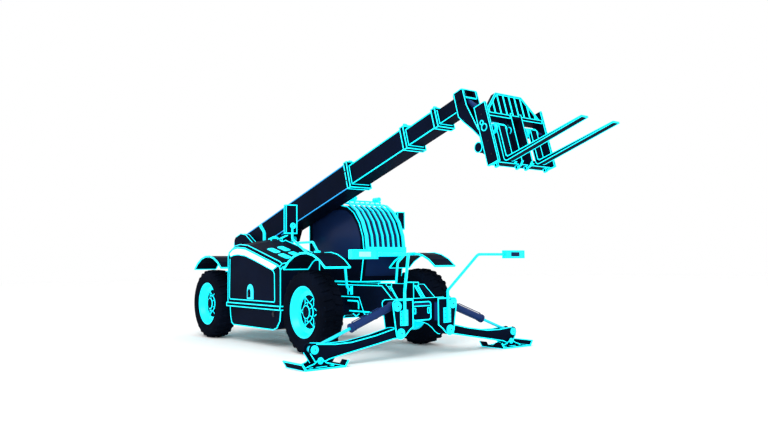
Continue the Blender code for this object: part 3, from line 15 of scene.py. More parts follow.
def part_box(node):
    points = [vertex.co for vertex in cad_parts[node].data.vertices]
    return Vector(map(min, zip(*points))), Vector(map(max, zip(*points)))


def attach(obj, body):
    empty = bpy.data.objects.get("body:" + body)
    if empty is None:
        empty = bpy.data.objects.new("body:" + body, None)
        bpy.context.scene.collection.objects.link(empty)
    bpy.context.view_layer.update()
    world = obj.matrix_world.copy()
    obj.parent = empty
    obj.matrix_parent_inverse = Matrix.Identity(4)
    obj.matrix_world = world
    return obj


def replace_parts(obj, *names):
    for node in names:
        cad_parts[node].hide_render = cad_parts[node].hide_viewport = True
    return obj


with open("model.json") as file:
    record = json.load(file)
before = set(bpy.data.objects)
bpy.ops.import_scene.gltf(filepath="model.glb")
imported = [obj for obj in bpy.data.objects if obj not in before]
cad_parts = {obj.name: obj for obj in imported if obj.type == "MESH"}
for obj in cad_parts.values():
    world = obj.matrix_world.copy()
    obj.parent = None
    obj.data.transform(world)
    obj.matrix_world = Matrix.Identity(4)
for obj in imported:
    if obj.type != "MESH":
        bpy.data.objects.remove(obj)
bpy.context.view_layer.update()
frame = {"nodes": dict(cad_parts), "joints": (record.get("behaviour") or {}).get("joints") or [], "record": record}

JOINTS = {joint["name"]: joint for joint in frame["joints"]}
BODY_OF = {node: body for body, nodes in frame["record"]["behaviour"]["bodies"].items() for node in nodes}
CORNERS = ("front_left", "front_right", "rear_left", "rear_right")


def at(joint):
    """Where a joint's axis lies."""
    return Vector(JOINTS[joint]["pos_m"])


# ---------------------------------------------------------------- paint shop
def linear(colour):
    """An sRGB hex colour as linear red, green, blue and alpha."""
    channels = [int(colour[i:i + 2], 16) / 255 for i in (1, 3, 5)]
    return (*[c / 12.92 if c <= 0.04045 else ((c + 0.055) / 1.055) ** 2.4 for c in channels], 1.0)


def add(tree, kind, links=(), **settings):
    """Adds one node. Settings name its inputs or its properties, and links are (input, socket) pairs."""
    node = tree.nodes.new(kind)
    for name, value in settings.items():
        if hasattr(node, name):
            setattr(node, name, value)
        else:
            node.inputs[name.replace("_", " ").title()].default_value = value
    for name, socket in links:
        tree.links.new(socket, node.inputs[name])
    return node


def finish(name, colour, roughness, metallic=0.0, specular=0.5, second=None, patch=1.6, grain=0.0, bump=0.0,
           wear=0.0, coat=0.0, glow=None, strength=0.0, sheen=0.0, clear=0.0, ior=1.5):
    """One surface finish.

    second: the colour it drifts to in patches of `patch` metres. grain: size in metres of the fine relief,
    whose depth is bump. wear: how much the roughness varies. glow and strength: light it gives off, which
    is lamp light on the piping and lenses and painted glow on the cyan enamels, the pale strip and the rods.
    """
    surface = bpy.data.materials.new(name)
    surface.use_nodes = True
    tree = surface.node_tree
    shader = tree.nodes["Principled BSDF"]
    inputs = shader.inputs
    inputs["Base Color"].default_value = linear(colour)
    inputs["Roughness"].default_value = roughness
    inputs["Metallic"].default_value = metallic
    inputs["IOR"].default_value = ior
    inputs["Specular IOR Level"].default_value = specular
    inputs["Coat Weight"].default_value = coat
    inputs["Coat Roughness"].default_value = 0.12
    inputs["Sheen Weight"].default_value = sheen
    inputs["Transmission Weight"].default_value = clear
    if glow:
        inputs["Emission Color"].default_value = linear(glow)
        inputs["Emission Strength"].default_value = strength
    place = add(tree, "ShaderNodeTexCoord").outputs["Object"]
    if second:
        cloud = add(tree, "ShaderNodeTexNoise", [("Vector", place)], scale=1 / patch, detail=3.0)
        blend = add(tree, "ShaderNodeMix", [("Factor", cloud.outputs["Fac"])], data_type="RGBA")
        blend.inputs[6].default_value = linear(colour)
        blend.inputs[7].default_value = linear(second)
        tree.links.new(blend.outputs[2], inputs["Base Color"])
    if wear:
        smear = add(tree, "ShaderNodeTexNoise", [("Vector", place)], scale=9.0, detail=5.0)
        spread = add(tree, "ShaderNodeMapRange", [("Value", smear.outputs["Fac"])])
        spread.inputs["To Min"].default_value = max(roughness - wear, 0.02)
        spread.inputs["To Max"].default_value = min(roughness + wear, 1.0)
        tree.links.new(spread.outputs["Result"], inputs["Roughness"])
    if grain:
        relief = add(tree, "ShaderNodeTexNoise", [("Vector", place)], scale=1 / grain, detail=2.0)
        lift = add(tree, "ShaderNodeBump", [("Height", relief.outputs["Fac"])], strength=bump,
                   distance=grain / 4)
        tree.links.new(lift.outputs["Normal"], inputs["Normal"])
    return surface


# Sheet steel sprayed with satin enamel: near black, with a navy drift and the faint skin of orange peel.
NAVY_ENAMEL = finish("navy_enamel", "#05080E", 0.46, specular=0.008, second="#0B1630", patch=1.1,
                     grain=0.012, bump=0.08, wear=0.08)
# The same paint, thicker and duller, on welded plate and castings.
FRAME_ENAMEL = finish("frame_enamel", "#050910", 0.55, specular=0.008, second="#0C1832", patch=0.5,
                      grain=0.006, bump=0.18, wear=0.12)
# Translucent cyan moulding lit from inside: an even, bright line.
CYAN_PIPING = finish("cyan_piping", "#00E5FF", 0.30, specular=0.2, second="#18EEFF", patch=0.6,
                     glow="#00F2FF", strength=0.95)
# The boom's long edges are lit less, towards azure.
AZURE_PIPING = finish("azure_piping", "#1E90D8", 0.30, specular=0.2, second="#2A9CE8", patch=0.8,
                      glow="#1FA6EE", strength=0.75)
# Cyan gloss enamel on tube, rims and the cab's guard, with a painted glow that keeps it evenly bright.
CYAN_ENAMEL_PAINTED_GLOW = finish("cyan_enamel_painted_glow", "#00DCF2", 0.34, specular=0.3, second="#00E6FF", patch=0.4, grain=0.008,
                     bump=0.05, wear=0.06, glow="#00E8FF", strength=0.55)
# Cyan darkened as painted shade for the recessed parts of the lamps' housings, the cooling fins, with a faint
# painted glow.
SHADED_CYAN_PAINTED_GLOW = finish("shaded_cyan_painted_glow", "#0590B4", 0.38, specular=0.25, second="#067FA6", patch=0.2, grain=0.008,
                   bump=0.05, wear=0.06, glow="#00A0C8", strength=0.25)
# The hood's blank marking strip: white film with a painted glow that keeps it bright.
PALE_STRIP_PAINTED_GLOW = finish("pale_strip_painted_glow", "#DDF8FF", 0.35, specular=0.2, second="#F4FDFF", patch=0.15, grain=0.01,
                    bump=0.03, glow="#E8FBFF", strength=0.55)
# Royal blue gloss enamel on the cylinders' barrels.
BARREL_BLUE = finish("barrel_blue", "#172C58", 0.34, specular=0.08, second="#1E3870", patch=0.3, grain=0.01,
                     bump=0.05, wear=0.08)
# Hard chrome plate whose cyan tint is a painted reflection of the piping's light, with a painted glow.
PLATED_ROD_PAINTED_GLOW = finish("plated_rod_painted_glow", "#12C9E6", 0.18, metallic=0.55, second="#20D6F0", patch=0.2, wear=0.06,
                    glow="#00D8F0", strength=0.45)
# Moulded rubber with a fine matt skin.
TYRE_RUBBER = finish("tyre_rubber", "#05070B", 0.85, specular=0.012, second="#0D1424", patch=0.4,
                     grain=0.004, bump=0.35, wear=0.08)
# Toughened glass with a deep blue tint.
TINTED_GLASS = finish("tinted_glass", "#14254A", 0.22, specular=0.05, second="#1C3262", patch=0.9,
                      wear=0.05)
# Silvered mirror glass.
MIRROR_GLASS = finish("mirror_glass", "#9DB4CC", 0.06, metallic=0.9, second="#A8BED4", patch=0.2, wear=0.02)
# Clear ribbed lens in front of a lit lamp.
LAMP_LENS = finish("lamp_lens", "#7DF4FF", 0.20, specular=0.4, second="#A4F8FF", patch=0.05, grain=0.006,
                   bump=0.1, glow="#5CF2FF", strength=0.7)
RED_LENS = finish("red_lens", "#5A0A14", 0.20, specular=0.4, second="#7A1020", patch=0.05, grain=0.004,
                  bump=0.1)
# Bare steel of pins, bolts and fork blades, dulled by handling.
DARK_STEEL = finish("dark_steel", "#0C121C", 0.42, metallic=0.6, specular=0.2, second="#18202E", patch=0.12,
                    grain=0.004, bump=0.12, wear=0.12)
# Moulded plastic of the cab's inside, with a leather-like grain.
CAB_PLASTIC = finish("cab_plastic", "#0A0E17", 0.66, specular=0.15, second="#121A2A", patch=0.3, grain=0.003,
                     bump=0.3, wear=0.08)


def seat_fabric():
    """Dark woven cloth: crossed yarns with a soft nap."""
    surface = finish("seat_fabric", "#0C1220", 0.92, specular=0.1, second="#141D33", patch=0.12, sheen=0.35)
    tree = surface.node_tree
    inputs = tree.nodes["Principled BSDF"].inputs
    place = add(tree, "ShaderNodeTexCoord").outputs["Object"]
    cross = add(tree, "ShaderNodeMath", operation="MAXIMUM")
    for yarn, way in enumerate("XY"):
        band = add(tree, "ShaderNodeTexWave", [("Vector", place)], bands_direction=way, scale=160.0,
                   distortion=0.6)
        tree.links.new(band.outputs["Fac"], cross.inputs[yarn])
    weave = add(tree, "ShaderNodeBump", [("Height", cross.outputs["Value"])], strength=0.4, distance=0.001)
    tree.links.new(weave.outputs["Normal"], inputs["Normal"])
    return surface


SEAT_FABRIC = seat_fabric()


# ---------------------------------------------------------------- workshop
def made(bm, name, paint, body="machine", smooth=32):
    """Makes a piece of a bmesh and puts it on a body. smooth: from how many degrees an edge is sharp."""
    bmesh.ops.remove_doubles(bm, verts=bm.verts, dist=1e-5)
    bmesh.ops.recalc_face_normals(bm, faces=bm.faces)
    mesh = bpy.data.meshes.new(name)
    bm.to_mesh(mesh)
    bm.free()
    mesh.materials.append(paint)
    mesh.shade_smooth()
    mesh.set_sharp_from_angle(angle=radians(smooth))
    obj = bpy.data.objects.new(name, mesh)
    bpy.context.scene.collection.objects.link(obj)
    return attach(obj, body)


def moved(place):
    return Matrix.Translation(place)


def turned(degrees, axis="Z"):
    return Matrix.Rotation(radians(degrees), 4, axis)


def facing(way):
    """The turn that points the z axis a given way."""
    return Vector(way).to_track_quat("Z", "Y").to_matrix().to_4x4()


def tilted(foot, along):
    """A frame at foot, with its x axis along a run in the machine's middle plane and y to the left."""
    return moved(foot) @ Matrix(((along.x, 0, -along.z), (0, 1, 0), (along.z, 0, along.x))).to_4x4()


def seen_from(place, node):
    """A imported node's points, measured in a frame."""
    back = place.inverted()
    return [back @ v.co for v in frame["nodes"][node].data.vertices]


def connected(verts):
    """These vertices and all those that edges lead to."""
    seen, queue = set(), list(verts)
    while queue:
        vert = queue.pop()
        if vert not in seen:
            seen.add(vert)
            queue += [e.other_vert(vert) for e in vert.link_edges]
    return list(seen)


def eased(bm, verts, size, segments):
    """Rounds off every edge at these vertices."""
    edges = list({e for v in verts for e in v.link_edges})
    return bmesh.ops.bevel(bm, geom=edges, offset=size, offset_type="OFFSET", affect="EDGES",
                           segments=segments, profile=0.5, material=-1)


def bar(bm, start, end, radius, sides=16, place=Matrix()):
    """A round bar between two points."""
    start, end = Vector(start), Vector(end)
    bmesh.ops.create_cone(
        bm, cap_ends=True, segments=sides, radius1=radius, radius2=radius, depth=(end - start).length,
        matrix=place @ moved((start + end) / 2) @ facing(end - start),
    )


def block(bm, low, high, edge=0.004, place=Matrix()):
    """A box between two corners, with its edges rounded off."""
    low, high = Vector(low), Vector(high)
    verts = bmesh.ops.create_cube(bm, size=1.0)["verts"]
    bmesh.ops.scale(bm, vec=high - low, verts=verts)
    bmesh.ops.translate(bm, vec=(low + high) / 2, verts=verts)
    bmesh.ops.transform(bm, matrix=place, verts=verts)
    if edge:
        eased(bm, verts, edge, 2)


def plate(bm, outline, thickness, place=Matrix(), edge=0.0):
    """A plate cut to an outline in x and y, as thick as it says along z, then put in place."""
    face = bm.faces.new([bm.verts.new((a, b, 0)) for a, b in outline])
    grown = bmesh.ops.extrude_face_region(bm, geom=[face], use_keep_orig=True)["geom"]
    top = [item for item in grown if isinstance(item, bmesh.types.BMVert)]
    bmesh.ops.translate(bm, vec=(0, 0, thickness), verts=top)
    verts = list(face.verts) + top
    bmesh.ops.transform(bm, matrix=place, verts=verts)
    if edge:
        eased(bm, verts, edge, 1)


def lathe(bm, profile, place=Matrix(), steps=48):
    """Turns an outline of radius and height about the z axis, then puts it in place."""
    verts = [bm.verts.new((radius, 0, height)) for radius, height in profile]
    edges = [bm.edges.new(pair) for pair in zip(verts, verts[1:])]
    if profile[0][0] > 0 or profile[-1][0] > 0:
        edges.append(bm.edges.new((verts[-1], verts[0])))
    bmesh.ops.spin(bm, geom=verts + edges, cent=(0, 0, 0), axis=(0, 0, 1), angle=2 * pi, steps=steps,
                   use_merge=True)
    bmesh.ops.transform(bm, matrix=place, verts=connected(v for e in edges for v in e.verts))


def ring(bm, centre, axis, inner, outer, width, steps=32):
    """A flat ring whose middle plane holds the centre."""
    half, soft = width / 2, min(width, outer - inner) * 0.25
    profile = [(inner, -half + soft), (inner, half - soft), (inner + soft, half), (outer - soft, half),
               (outer, half - soft), (outer, -half + soft), (outer - soft, -half), (inner + soft, -half)]
    lathe(bm, profile, moved(centre) @ facing(axis), steps)


def bent_tube(bm, points, radius, sides=12, place=Matrix()):
    """A round tube along a path of points."""
    points = [place @ Vector(p) for p in points]
    runs = [(b - a).normalized() for a, b in zip(points, points[1:])]
    turn = runs[0].to_track_quat("Z", "Y")
    here = moved(points[0]) @ turn.to_matrix().to_4x4()
    circle = bmesh.ops.create_circle(bm, cap_ends=True, radius=radius, segments=sides, matrix=here)
    face = circle["verts"][0].link_faces[0]
    first = True
    for i, point in enumerate(points[1:]):
        ahead = runs[min(i + 1, len(runs) - 1)]
        facing = (runs[i] + ahead).normalized()
        turn = (turn @ Vector((0, 0, 1))).rotation_difference(facing) @ turn
        there = moved(point) @ turn.to_matrix().to_4x4()
        grown = bmesh.ops.extrude_face_region(bm, geom=[face], use_keep_orig=first)["geom"]
        verts = [item for item in grown if isinstance(item, bmesh.types.BMVert)]
        face = next(item for item in grown if isinstance(item, bmesh.types.BMFace))
        bmesh.ops.transform(bm, matrix=there @ here.inverted(), verts=verts)
        here, first = there, False


def rounded(points, radius, steps=6):
    """The points of a path, with an arc in place of each corner."""
    points = [Vector(p) for p in points]
    path = [points[0]]
    for before, corner, after in zip(points, points[1:], points[2:]):
        back, ahead = (before - corner).normalized(), (after - corner).normalized()
        half = back.angle(ahead) / 2
        reach = radius * cos(half) / sin(half)
        centre = corner + (back + ahead).normalized() * radius / sin(half)
        first, last = corner + back * reach - centre, corner + ahead * reach - centre
        path += [centre + first.slerp(last, i / steps).normalized() * radius for i in range(steps + 1)]
    return path + [points[-1]]


def arch(width, height, steps=10):
    """An upright arch, as an outline about its foot's middle."""
    radius = width / 2
    angles = [pi * i / steps for i in range(steps + 1)]
    top = [(radius * cos(a), height - radius + radius * sin(a)) for a in angles]
    return [(-radius, 0), (radius, 0)] + top


def rounded_outline(width, height, radius, steps=4):
    """A rectangle with round corners, about its middle."""
    outline = []
    for corner, (sx, sy) in enumerate(((1, 1), (-1, 1), (-1, -1), (1, -1))):
        for i in range(steps + 1):
            a = pi / 2 * (corner + i / steps)
            outline.append((sx * (width / 2 - radius) + radius * cos(a),
                            sy * (height / 2 - radius) + radius * sin(a)))
    return outline


def line_of(bm, points, radius=0.007, closed=False):
    """Lit moulding through a row of points."""
    points = [Vector(p) for p in points]
    if closed:
        points.append(points[0])
    for start, end in zip(points, points[1:]):
        over = (end - start).normalized() * radius * 0.4
        bar(bm, start - over, end + over, radius, 6)


def piping(node, radius=0.008, paint=CYAN_PIPING, least=40, shortest=0.012, keep=None, name=None,
           round_of=None):
    """Lays a lit moulding along each sharp edge of a node.

    least: the smallest bend of the surface, in degrees, that is an edge. keep: says of an edge's two ends
    whether it gets a moulding. round_of: a middle; edges of the openings round it get none.
    """
    source = bmesh.new()
    source.from_mesh(frame["nodes"][node].data)
    bmesh.ops.remove_doubles(source, verts=source.verts, dist=1e-5)
    bmesh.ops.dissolve_limit(source, angle_limit=radians(2), verts=source.verts, edges=source.edges)
    bm = bmesh.new()
    for edge in source.edges:
        if len(edge.link_faces) != 2 or edge.calc_length() < shortest:
            continue
        if edge.calc_face_angle() < radians(least):
            continue
        start, end = edge.verts[0].co, edge.verts[1].co
        if keep and not keep(start, end):
            continue
        if round_of and any(face.normal.dot((start + end) / 2 - round_of) < 0 for face in edge.link_faces):
            continue
        line_of(bm, (start, end), radius)
    source.free()
    made(bm, name or node + "_piping", paint, BODY_OF[node], 70)


def paint(finish_of, *nodes):
    """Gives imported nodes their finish."""
    for node in nodes:
        slots = frame["nodes"][node].data.materials
        slots.clear()
        slots.append(finish_of)


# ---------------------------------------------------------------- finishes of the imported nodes
paint(NAVY_ENAMEL, "engine_cover", "counterweight", "fuel_tank", "hydraulic_tank", "cab_shell", "cab_door",
      "boom_outer_section", "boom_second_section", "boom_third_section", "boom_head", "carriage", "fork_left",
      "fork_right", "left_mirror", "right_mirror", *[corner + "_mudguard" for corner in CORNERS])
paint(FRAME_ENAMEL, "main_frame", "tow_hitch", "stabiliser_frame", "front_axle", "rear_axle", "engine_bay",
      "engine_block", "steering_column", "left_stabiliser_leg", "right_stabiliser_leg",
      "left_stabiliser_foot", "right_stabiliser_foot", *[corner + "_knuckle" for corner in CORNERS])
paint(CYAN_ENAMEL_PAINTED_GLOW, "exhaust_stack", "windscreen_guard", "left_lamp_stalk", "right_lamp_stalk")
paint(BARREL_BLUE, "lift_cylinder_barrel", "tilt_cylinder_barrel", "left_stabiliser_barrel",
      "right_stabiliser_barrel")
paint(PLATED_ROD_PAINTED_GLOW, "lift_cylinder_rod", "tilt_cylinder_rod", "left_stabiliser_rod", "right_stabiliser_rod")
paint(TINTED_GLASS, "windscreen", "right_window", "rear_window", "door_window")

# ---------------------------------------------------------------- piping
AXLE_X, REAR_AXLE_X = ((sum(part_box(end + "_right_rim"), Vector()) / 2).x for end in ("front", "rear"))


def spot(x, y, z):
    """A place given as a distance in front of the front axle, to the left, and above the ground."""
    return Vector((AXLE_X + x, y, z))


def frame_edge(start, end):
    """The rails' outer faces, the tower, and the two gussets in front of the axle."""
    x, y = (start.x + end.x) / 2 - AXLE_X, abs(start.y + end.y) / 2
    tower_front, rail_face, gusset_fall = -2.9, 0.41, 1.093
    if x < tower_front:
        return (end - start).length > 0.08 and y > 0.25
    if x > 0.6 and 0.2 < y < 0.33:
        on_slope = min(p.z + gusset_fall * (p.x - AXLE_X) for p in (start, end)) > 1.97
        return on_slope or min(start.z, end.z) > 1.06 or (abs(end.z - start.z) > 0.2 and x < 0.9)
    return min(abs(start.y), abs(end.y)) > rail_face


def lug_plate_edge(start, end):
    """The outlines of the front lug plate's front face, and of the rear one's rear face."""
    low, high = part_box("stabiliser_frame")
    pin_reach = 0.021       # a little more than the pins stand out of the plates
    front, rear = high.x - pin_reach, low.x + pin_reach
    nearest, furthest = sorted((start.x, end.x))
    return (nearest > front and furthest < front + 0.002) or furthest < rear


def bay_edge(start, end):
    """The engine bay's floor."""
    return max(start.z, end.z) < 0.72


def leg_edge(node):
    """Says whether an edge is on a leg's front or rear face."""
    low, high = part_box(node)
    middle = (low.x + high.x) / 2

    def test(start, end):
        return min(abs(start.x - middle), abs(end.x - middle)) > 0.084 and (end - start).length > 0.04
    return test


def clear_of_hinge(start, end):
    """The hood's edges, without its hinge knuckles."""
    return min(start.y, end.y) < -0.47 or (end - start).length > 0.3


def sole_edge(start, end):
    """The foot's edges on the ground."""
    return max(start.z, end.z) < 0.006


def foot_edge(node):
    """Says whether an edge is an outline of a foot's tray or of its side plates."""
    low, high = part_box(node)
    middle, half = (low.x + high.x) / 2, (high.x - low.x) / 2

    def test(start, end):
        if sole_edge(start, end):
            return False
        reach = min(abs(start.x - middle), abs(end.x - middle))
        along_tray = abs(end.x - start.x) > 0.3 and max(start.z, end.z) > low.z + 0.05
        on_side_plate = 0.108 < reach < 0.112 and (end - start).length > 0.03
        return reach > half - 0.002 or along_tray or on_side_plate
    return test


piping("engine_cover", 0.009, least=25, keep=clear_of_hinge)
for node in ("cab_shell", "cab_door"):
    piping(node, 0.009, least=25, round_of=sum(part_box(node), Vector()) / 2)
for node in ("counterweight", "fuel_tank", "hydraulic_tank"):
    piping(node, 0.009, least=35)
piping("main_frame", 0.007, least=35, shortest=0.03, keep=frame_edge)
piping("stabiliser_frame", 0.009, least=25, shortest=0.025, keep=lug_plate_edge)
piping("engine_bay", 0.009, least=40, shortest=0.02, keep=bay_edge)
piping("tow_hitch", 0.006, least=50, shortest=0.03)
for node in ("left_stabiliser_leg", "right_stabiliser_leg"):
    piping(node, 0.008, least=20, keep=leg_edge(node))
for node in ("left_stabiliser_foot", "right_stabiliser_foot"):
    piping(node, 0.008, least=25, keep=foot_edge(node))
    piping(node, 0.004, least=25, keep=sole_edge, name=node + "_sole_piping")
for node in ("fork_left", "fork_right"):
    piping(node, 0.0055, least=40, shortest=0.02)
for corner in CORNERS:
    piping(corner + "_mudguard", 0.011, least=65, shortest=0.08)
for node in ("left_mirror", "right_mirror"):
    piping(node, 0.009, least=60, shortest=0.05)

along = Vector(JOINTS["boom_extend"]["axis"]).normalized()
BOOM = tilted(at("boom_lift"), along)


def lengthwise(start, end):
    """The boom's long edges."""
    return abs((end - start).normalized().dot(along)) > 0.99 and (end - start).length > 0.3


def lit_length(start, end):
    """The right side's long edges and the left side's top one."""
    low_left = start.y > 0 and (BOOM.inverted() @ start).z < 0
    return lengthwise(start, end) and not low_left


def collar_edge(front):
    """Says whether an edge is on a section's front collar, or on the outer section's rear end."""
    def test(start, end):
        nearest = min((BOOM.inverted() @ p).x for p in (start, end))
        return not lengthwise(start, end) and (nearest > front - 0.16 or nearest < -0.1)
    return test


for node, paint_of in (("boom_outer_section", AZURE_PIPING), ("boom_second_section", CYAN_PIPING),
                       ("boom_third_section", CYAN_PIPING)):
    piping(node, 0.010, paint_of, keep=lit_length, name=node + "_long_piping")
    piping(node, 0.009, shortest=0.03, keep=collar_edge(max(p.x for p in seen_from(BOOM, node))))


def head_edge(start, end):
    """The arms' outer outlines, the head's front frame, and the lower edges of the inner section."""
    a, b = BOOM.inverted() @ start, BOOM.inverted() @ end
    head_rear, frame_rear, arm_face, frame_side = 6.44, 6.66, 0.138, 0.10
    if min(a.x, b.x) < head_rear:
        return lengthwise(start, end) and a.z < 0 and a.y < 0
    if min(abs(a.y), abs(b.y)) > arm_face:
        return True
    return min(a.x, b.x) > frame_rear and min(a.z, b.z) > 0.02 and min(abs(a.y), abs(b.y)) > frame_side


piping("boom_head", 0.0065, least=40, shortest=0.02, keep=head_edge)


def longest_run(node):
    """The way that a node's longest edge goes, taken forwards."""
    mesh = frame["nodes"][node].data
    runs = [mesh.vertices[b].co - mesh.vertices[a].co for a, b in (edge.vertices for edge in mesh.edges)]
    way = max(runs, key=lambda run: run.length).normalized()
    return way if way.x > 0 else -way


CARRIAGE = tilted(at("carriage_tilt"), longest_run("fork_left"))
PLATE_FRONT = max(p.x for p in seen_from(CARRIAGE, "carriage"))
PLATE_HALF = max(p.y for p in seen_from(CARRIAGE, "carriage"))


def carriage_edge(start, end):
    """Front edges of every plate, the side plates' outlines and the guard's front."""
    a, b = CARRIAGE.inverted() @ start, CARRIAGE.inverted() @ end
    guard_foot, plate_foot, pivot_boss, inner_plate = 0.245, -0.38, 0.08, 0.098
    if min(abs(a.y), abs(b.y)) > PLATE_HALF - 0.001:
        return True
    if min(a.z, b.z) > guard_foot:
        return min(a.x, b.x) > PLATE_FRONT - 0.056
    if max(a.z, b.z) < plate_foot or max(hypot(a.x, a.z), hypot(b.x, b.z)) < pivot_boss:
        return True
    return min(a.x, b.x) > PLATE_FRONT - 0.052 and min(abs(a.y), abs(b.y)) > inner_plate


piping("carriage", 0.0055, least=40, shortest=0.02, keep=carriage_edge)

# ---------------------------------------------------------------- tyres and rims
def tyre(corner):
    """A wide earthmover tyre: a round-shouldered carcass with two staggered rows of deep lugs."""
    low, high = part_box(corner + "_tyre")
    hub, reach, half = (low + high) / 2, (high.z - low.z) / 2, (high.y - low.y) / 2
    place = moved(hub) @ turned(90, "X")
    bm = bmesh.new()
    base = reach - 0.030
    flank = [(0.383, half - 0.043), (0.402, half - 0.042), (0.410, half - 0.018), (0.430, half - 0.010),
             (0.436, half - 0.004), (0.452, half - 0.004), (0.458, half - 0.010), (0.500, half - 0.003),
             (0.540, half - 0.001), (0.546, half - 0.006), (0.570, half - 0.006), (0.590, half - 0.018),
             (base - 0.010, half - 0.040), (base, half - 0.070), (base + 0.004, 0.06)]
    lathe(bm, flank + [(r, -h) for r, h in reversed(flank)], place, 72)
    lugs = 26
    for row in (1, -1):
        for i in range(lugs):
            angle = 2 * pi * (i + (0.5 if row > 0 else 0)) / lugs
            lug = bmesh.ops.create_cube(bm, size=1.0)["verts"]
            # across, round and out of the tread
            bmesh.ops.scale(bm, vec=(half * 0.86, 0.070, 0.050), verts=lug)
            bmesh.ops.translate(bm, vec=(half * 0.52 * row, 0, reach - 0.0245), verts=lug)
            for vert in lug:
                outer = abs(vert.co.x) > half * 0.6
                if vert.co.z > reach - 0.01:
                    vert.co.y *= 0.72
                    if outer:
                        vert.co.x -= 0.030 * row
                        vert.co.z -= 0.012
                elif outer:
                    vert.co.z -= 0.055
                vert.co.y += -0.034 * (abs(vert.co.x) / half) + 0.017
            grown = eased(bm, lug, 0.005, 1)
            bmesh.ops.transform(bm, matrix=moved(hub) @ Matrix.Rotation(angle, 4, "Y") @ turned(90),
                                verts=connected(v for f in grown["faces"] for v in f.verts))
    made_tyre = made(bm, corner + "_lugged_tyre", TYRE_RUBBER, BODY_OF[corner + "_tyre"])
    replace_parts(made_tyre, corner + "_tyre")


def wheel_disc(corner, side):
    """A rim: a broad cyan cone round a dark disc, with a planetary hub and wheel nuts."""
    low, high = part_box(corner + "_rim")
    hub, half = (low + high) / 2, (high.y - low.y) / 2
    # local z runs out of the wheel, away from the machine
    place = moved(hub) @ turned(-90 * side, "X")
    body = BODY_OF[corner + "_rim"]
    bm = bmesh.new()
    lathe(bm, [(0.402, half), (0.402, half - 0.012), (0.380, half - 0.012), (0.380, -half + 0.012),
               (0.402, -half + 0.012), (0.402, -half), (0.366, -half), (0.366, 0.02), (0.290, 0.030),
               (0.272, 0.048), (0.268, 0.056), (0.284, 0.062), (0.296, 0.060), (0.330, 0.074), (0.346, 0.100),
               (0.372, half - 0.030), (0.384, half - 0.006), (0.392, half)], place, 72)
    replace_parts(made(bm, corner + "_rim_band", CYAN_ENAMEL_PAINTED_GLOW, body), corner + "_rim")
    bm = bmesh.new()
    lathe(bm, [(0.0, 0.020), (0.286, 0.020), (0.286, 0.042), (0.262, 0.048), (0.235, 0.036), (0.190, 0.036),
               (0.170, 0.052), (0.0, 0.052)], place, 64)
    made(bm, corner + "_rim_disc", FRAME_ENAMEL, body)
    bm = bmesh.new()
    lathe(bm, [(0.0, 0.050), (0.150, 0.050), (0.150, 0.075), (0.136, 0.088), (0.105, 0.092), (0.100, 0.112),
               (0.088, 0.120), (0.0, 0.120)], place, 48)
    made(bm, corner + "_hub", FRAME_ENAMEL, body)
    bm = bmesh.new()
    ring(bm, place @ Vector((0, 0, 0.077)), (0, side, 0), 0.140, 0.153, 0.012, 48)
    ring(bm, place @ Vector((0, 0, 0.110)), (0, side, 0), 0.086, 0.104, 0.014, 48)
    ring(bm, place @ Vector((0, 0, 0.056)), (0, side, 0), 0.262, 0.274, 0.012, 64)
    for i in range(6):
        for spread in (-24, 24):
            foot = turned(60 * i + spread) @ Vector((0.152, 0, 0.054))
            tip = turned(60 * i) @ Vector((0.262, 0, 0.054))
            bar(bm, foot, tip, 0.006, 6, place)
        turn = turned(60 * i + 30)
        bar(bm, (0.100, 0, 0.092), (0.142, 0, 0.082), 0.007, 6, place @ turn)
    made(bm, corner + "_hub_rings_and_spokes", CYAN_PIPING, body)
    bm = bmesh.new()
    for i in range(12):
        turn = turned(30 * i + 15)
        bar(bm, (0.218, 0, 0.034), (0.218, 0, 0.056), 0.013, 6, place @ turn)
        bar(bm, (0.218, 0, 0.050), (0.218, 0, 0.066), 0.006, 8, place @ turn)
    for i in range(5):
        turn = turned(72 * i + 36)
        bar(bm, (0.052, 0, 0.115), (0.052, 0, 0.126), 0.010, 6, place @ turn)
    made(bm, corner + "_wheel_nuts", DARK_STEEL, body)


for corner in CORNERS:
    tyre(corner)
    wheel_disc(corner, 1 if "left" in corner else -1)

# ---------------------------------------------------------------- hood and engine bay
HOOD_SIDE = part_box("engine_cover")[0].y
UPRIGHT = turned(90, "X")       # an outline's x stays, its y becomes height


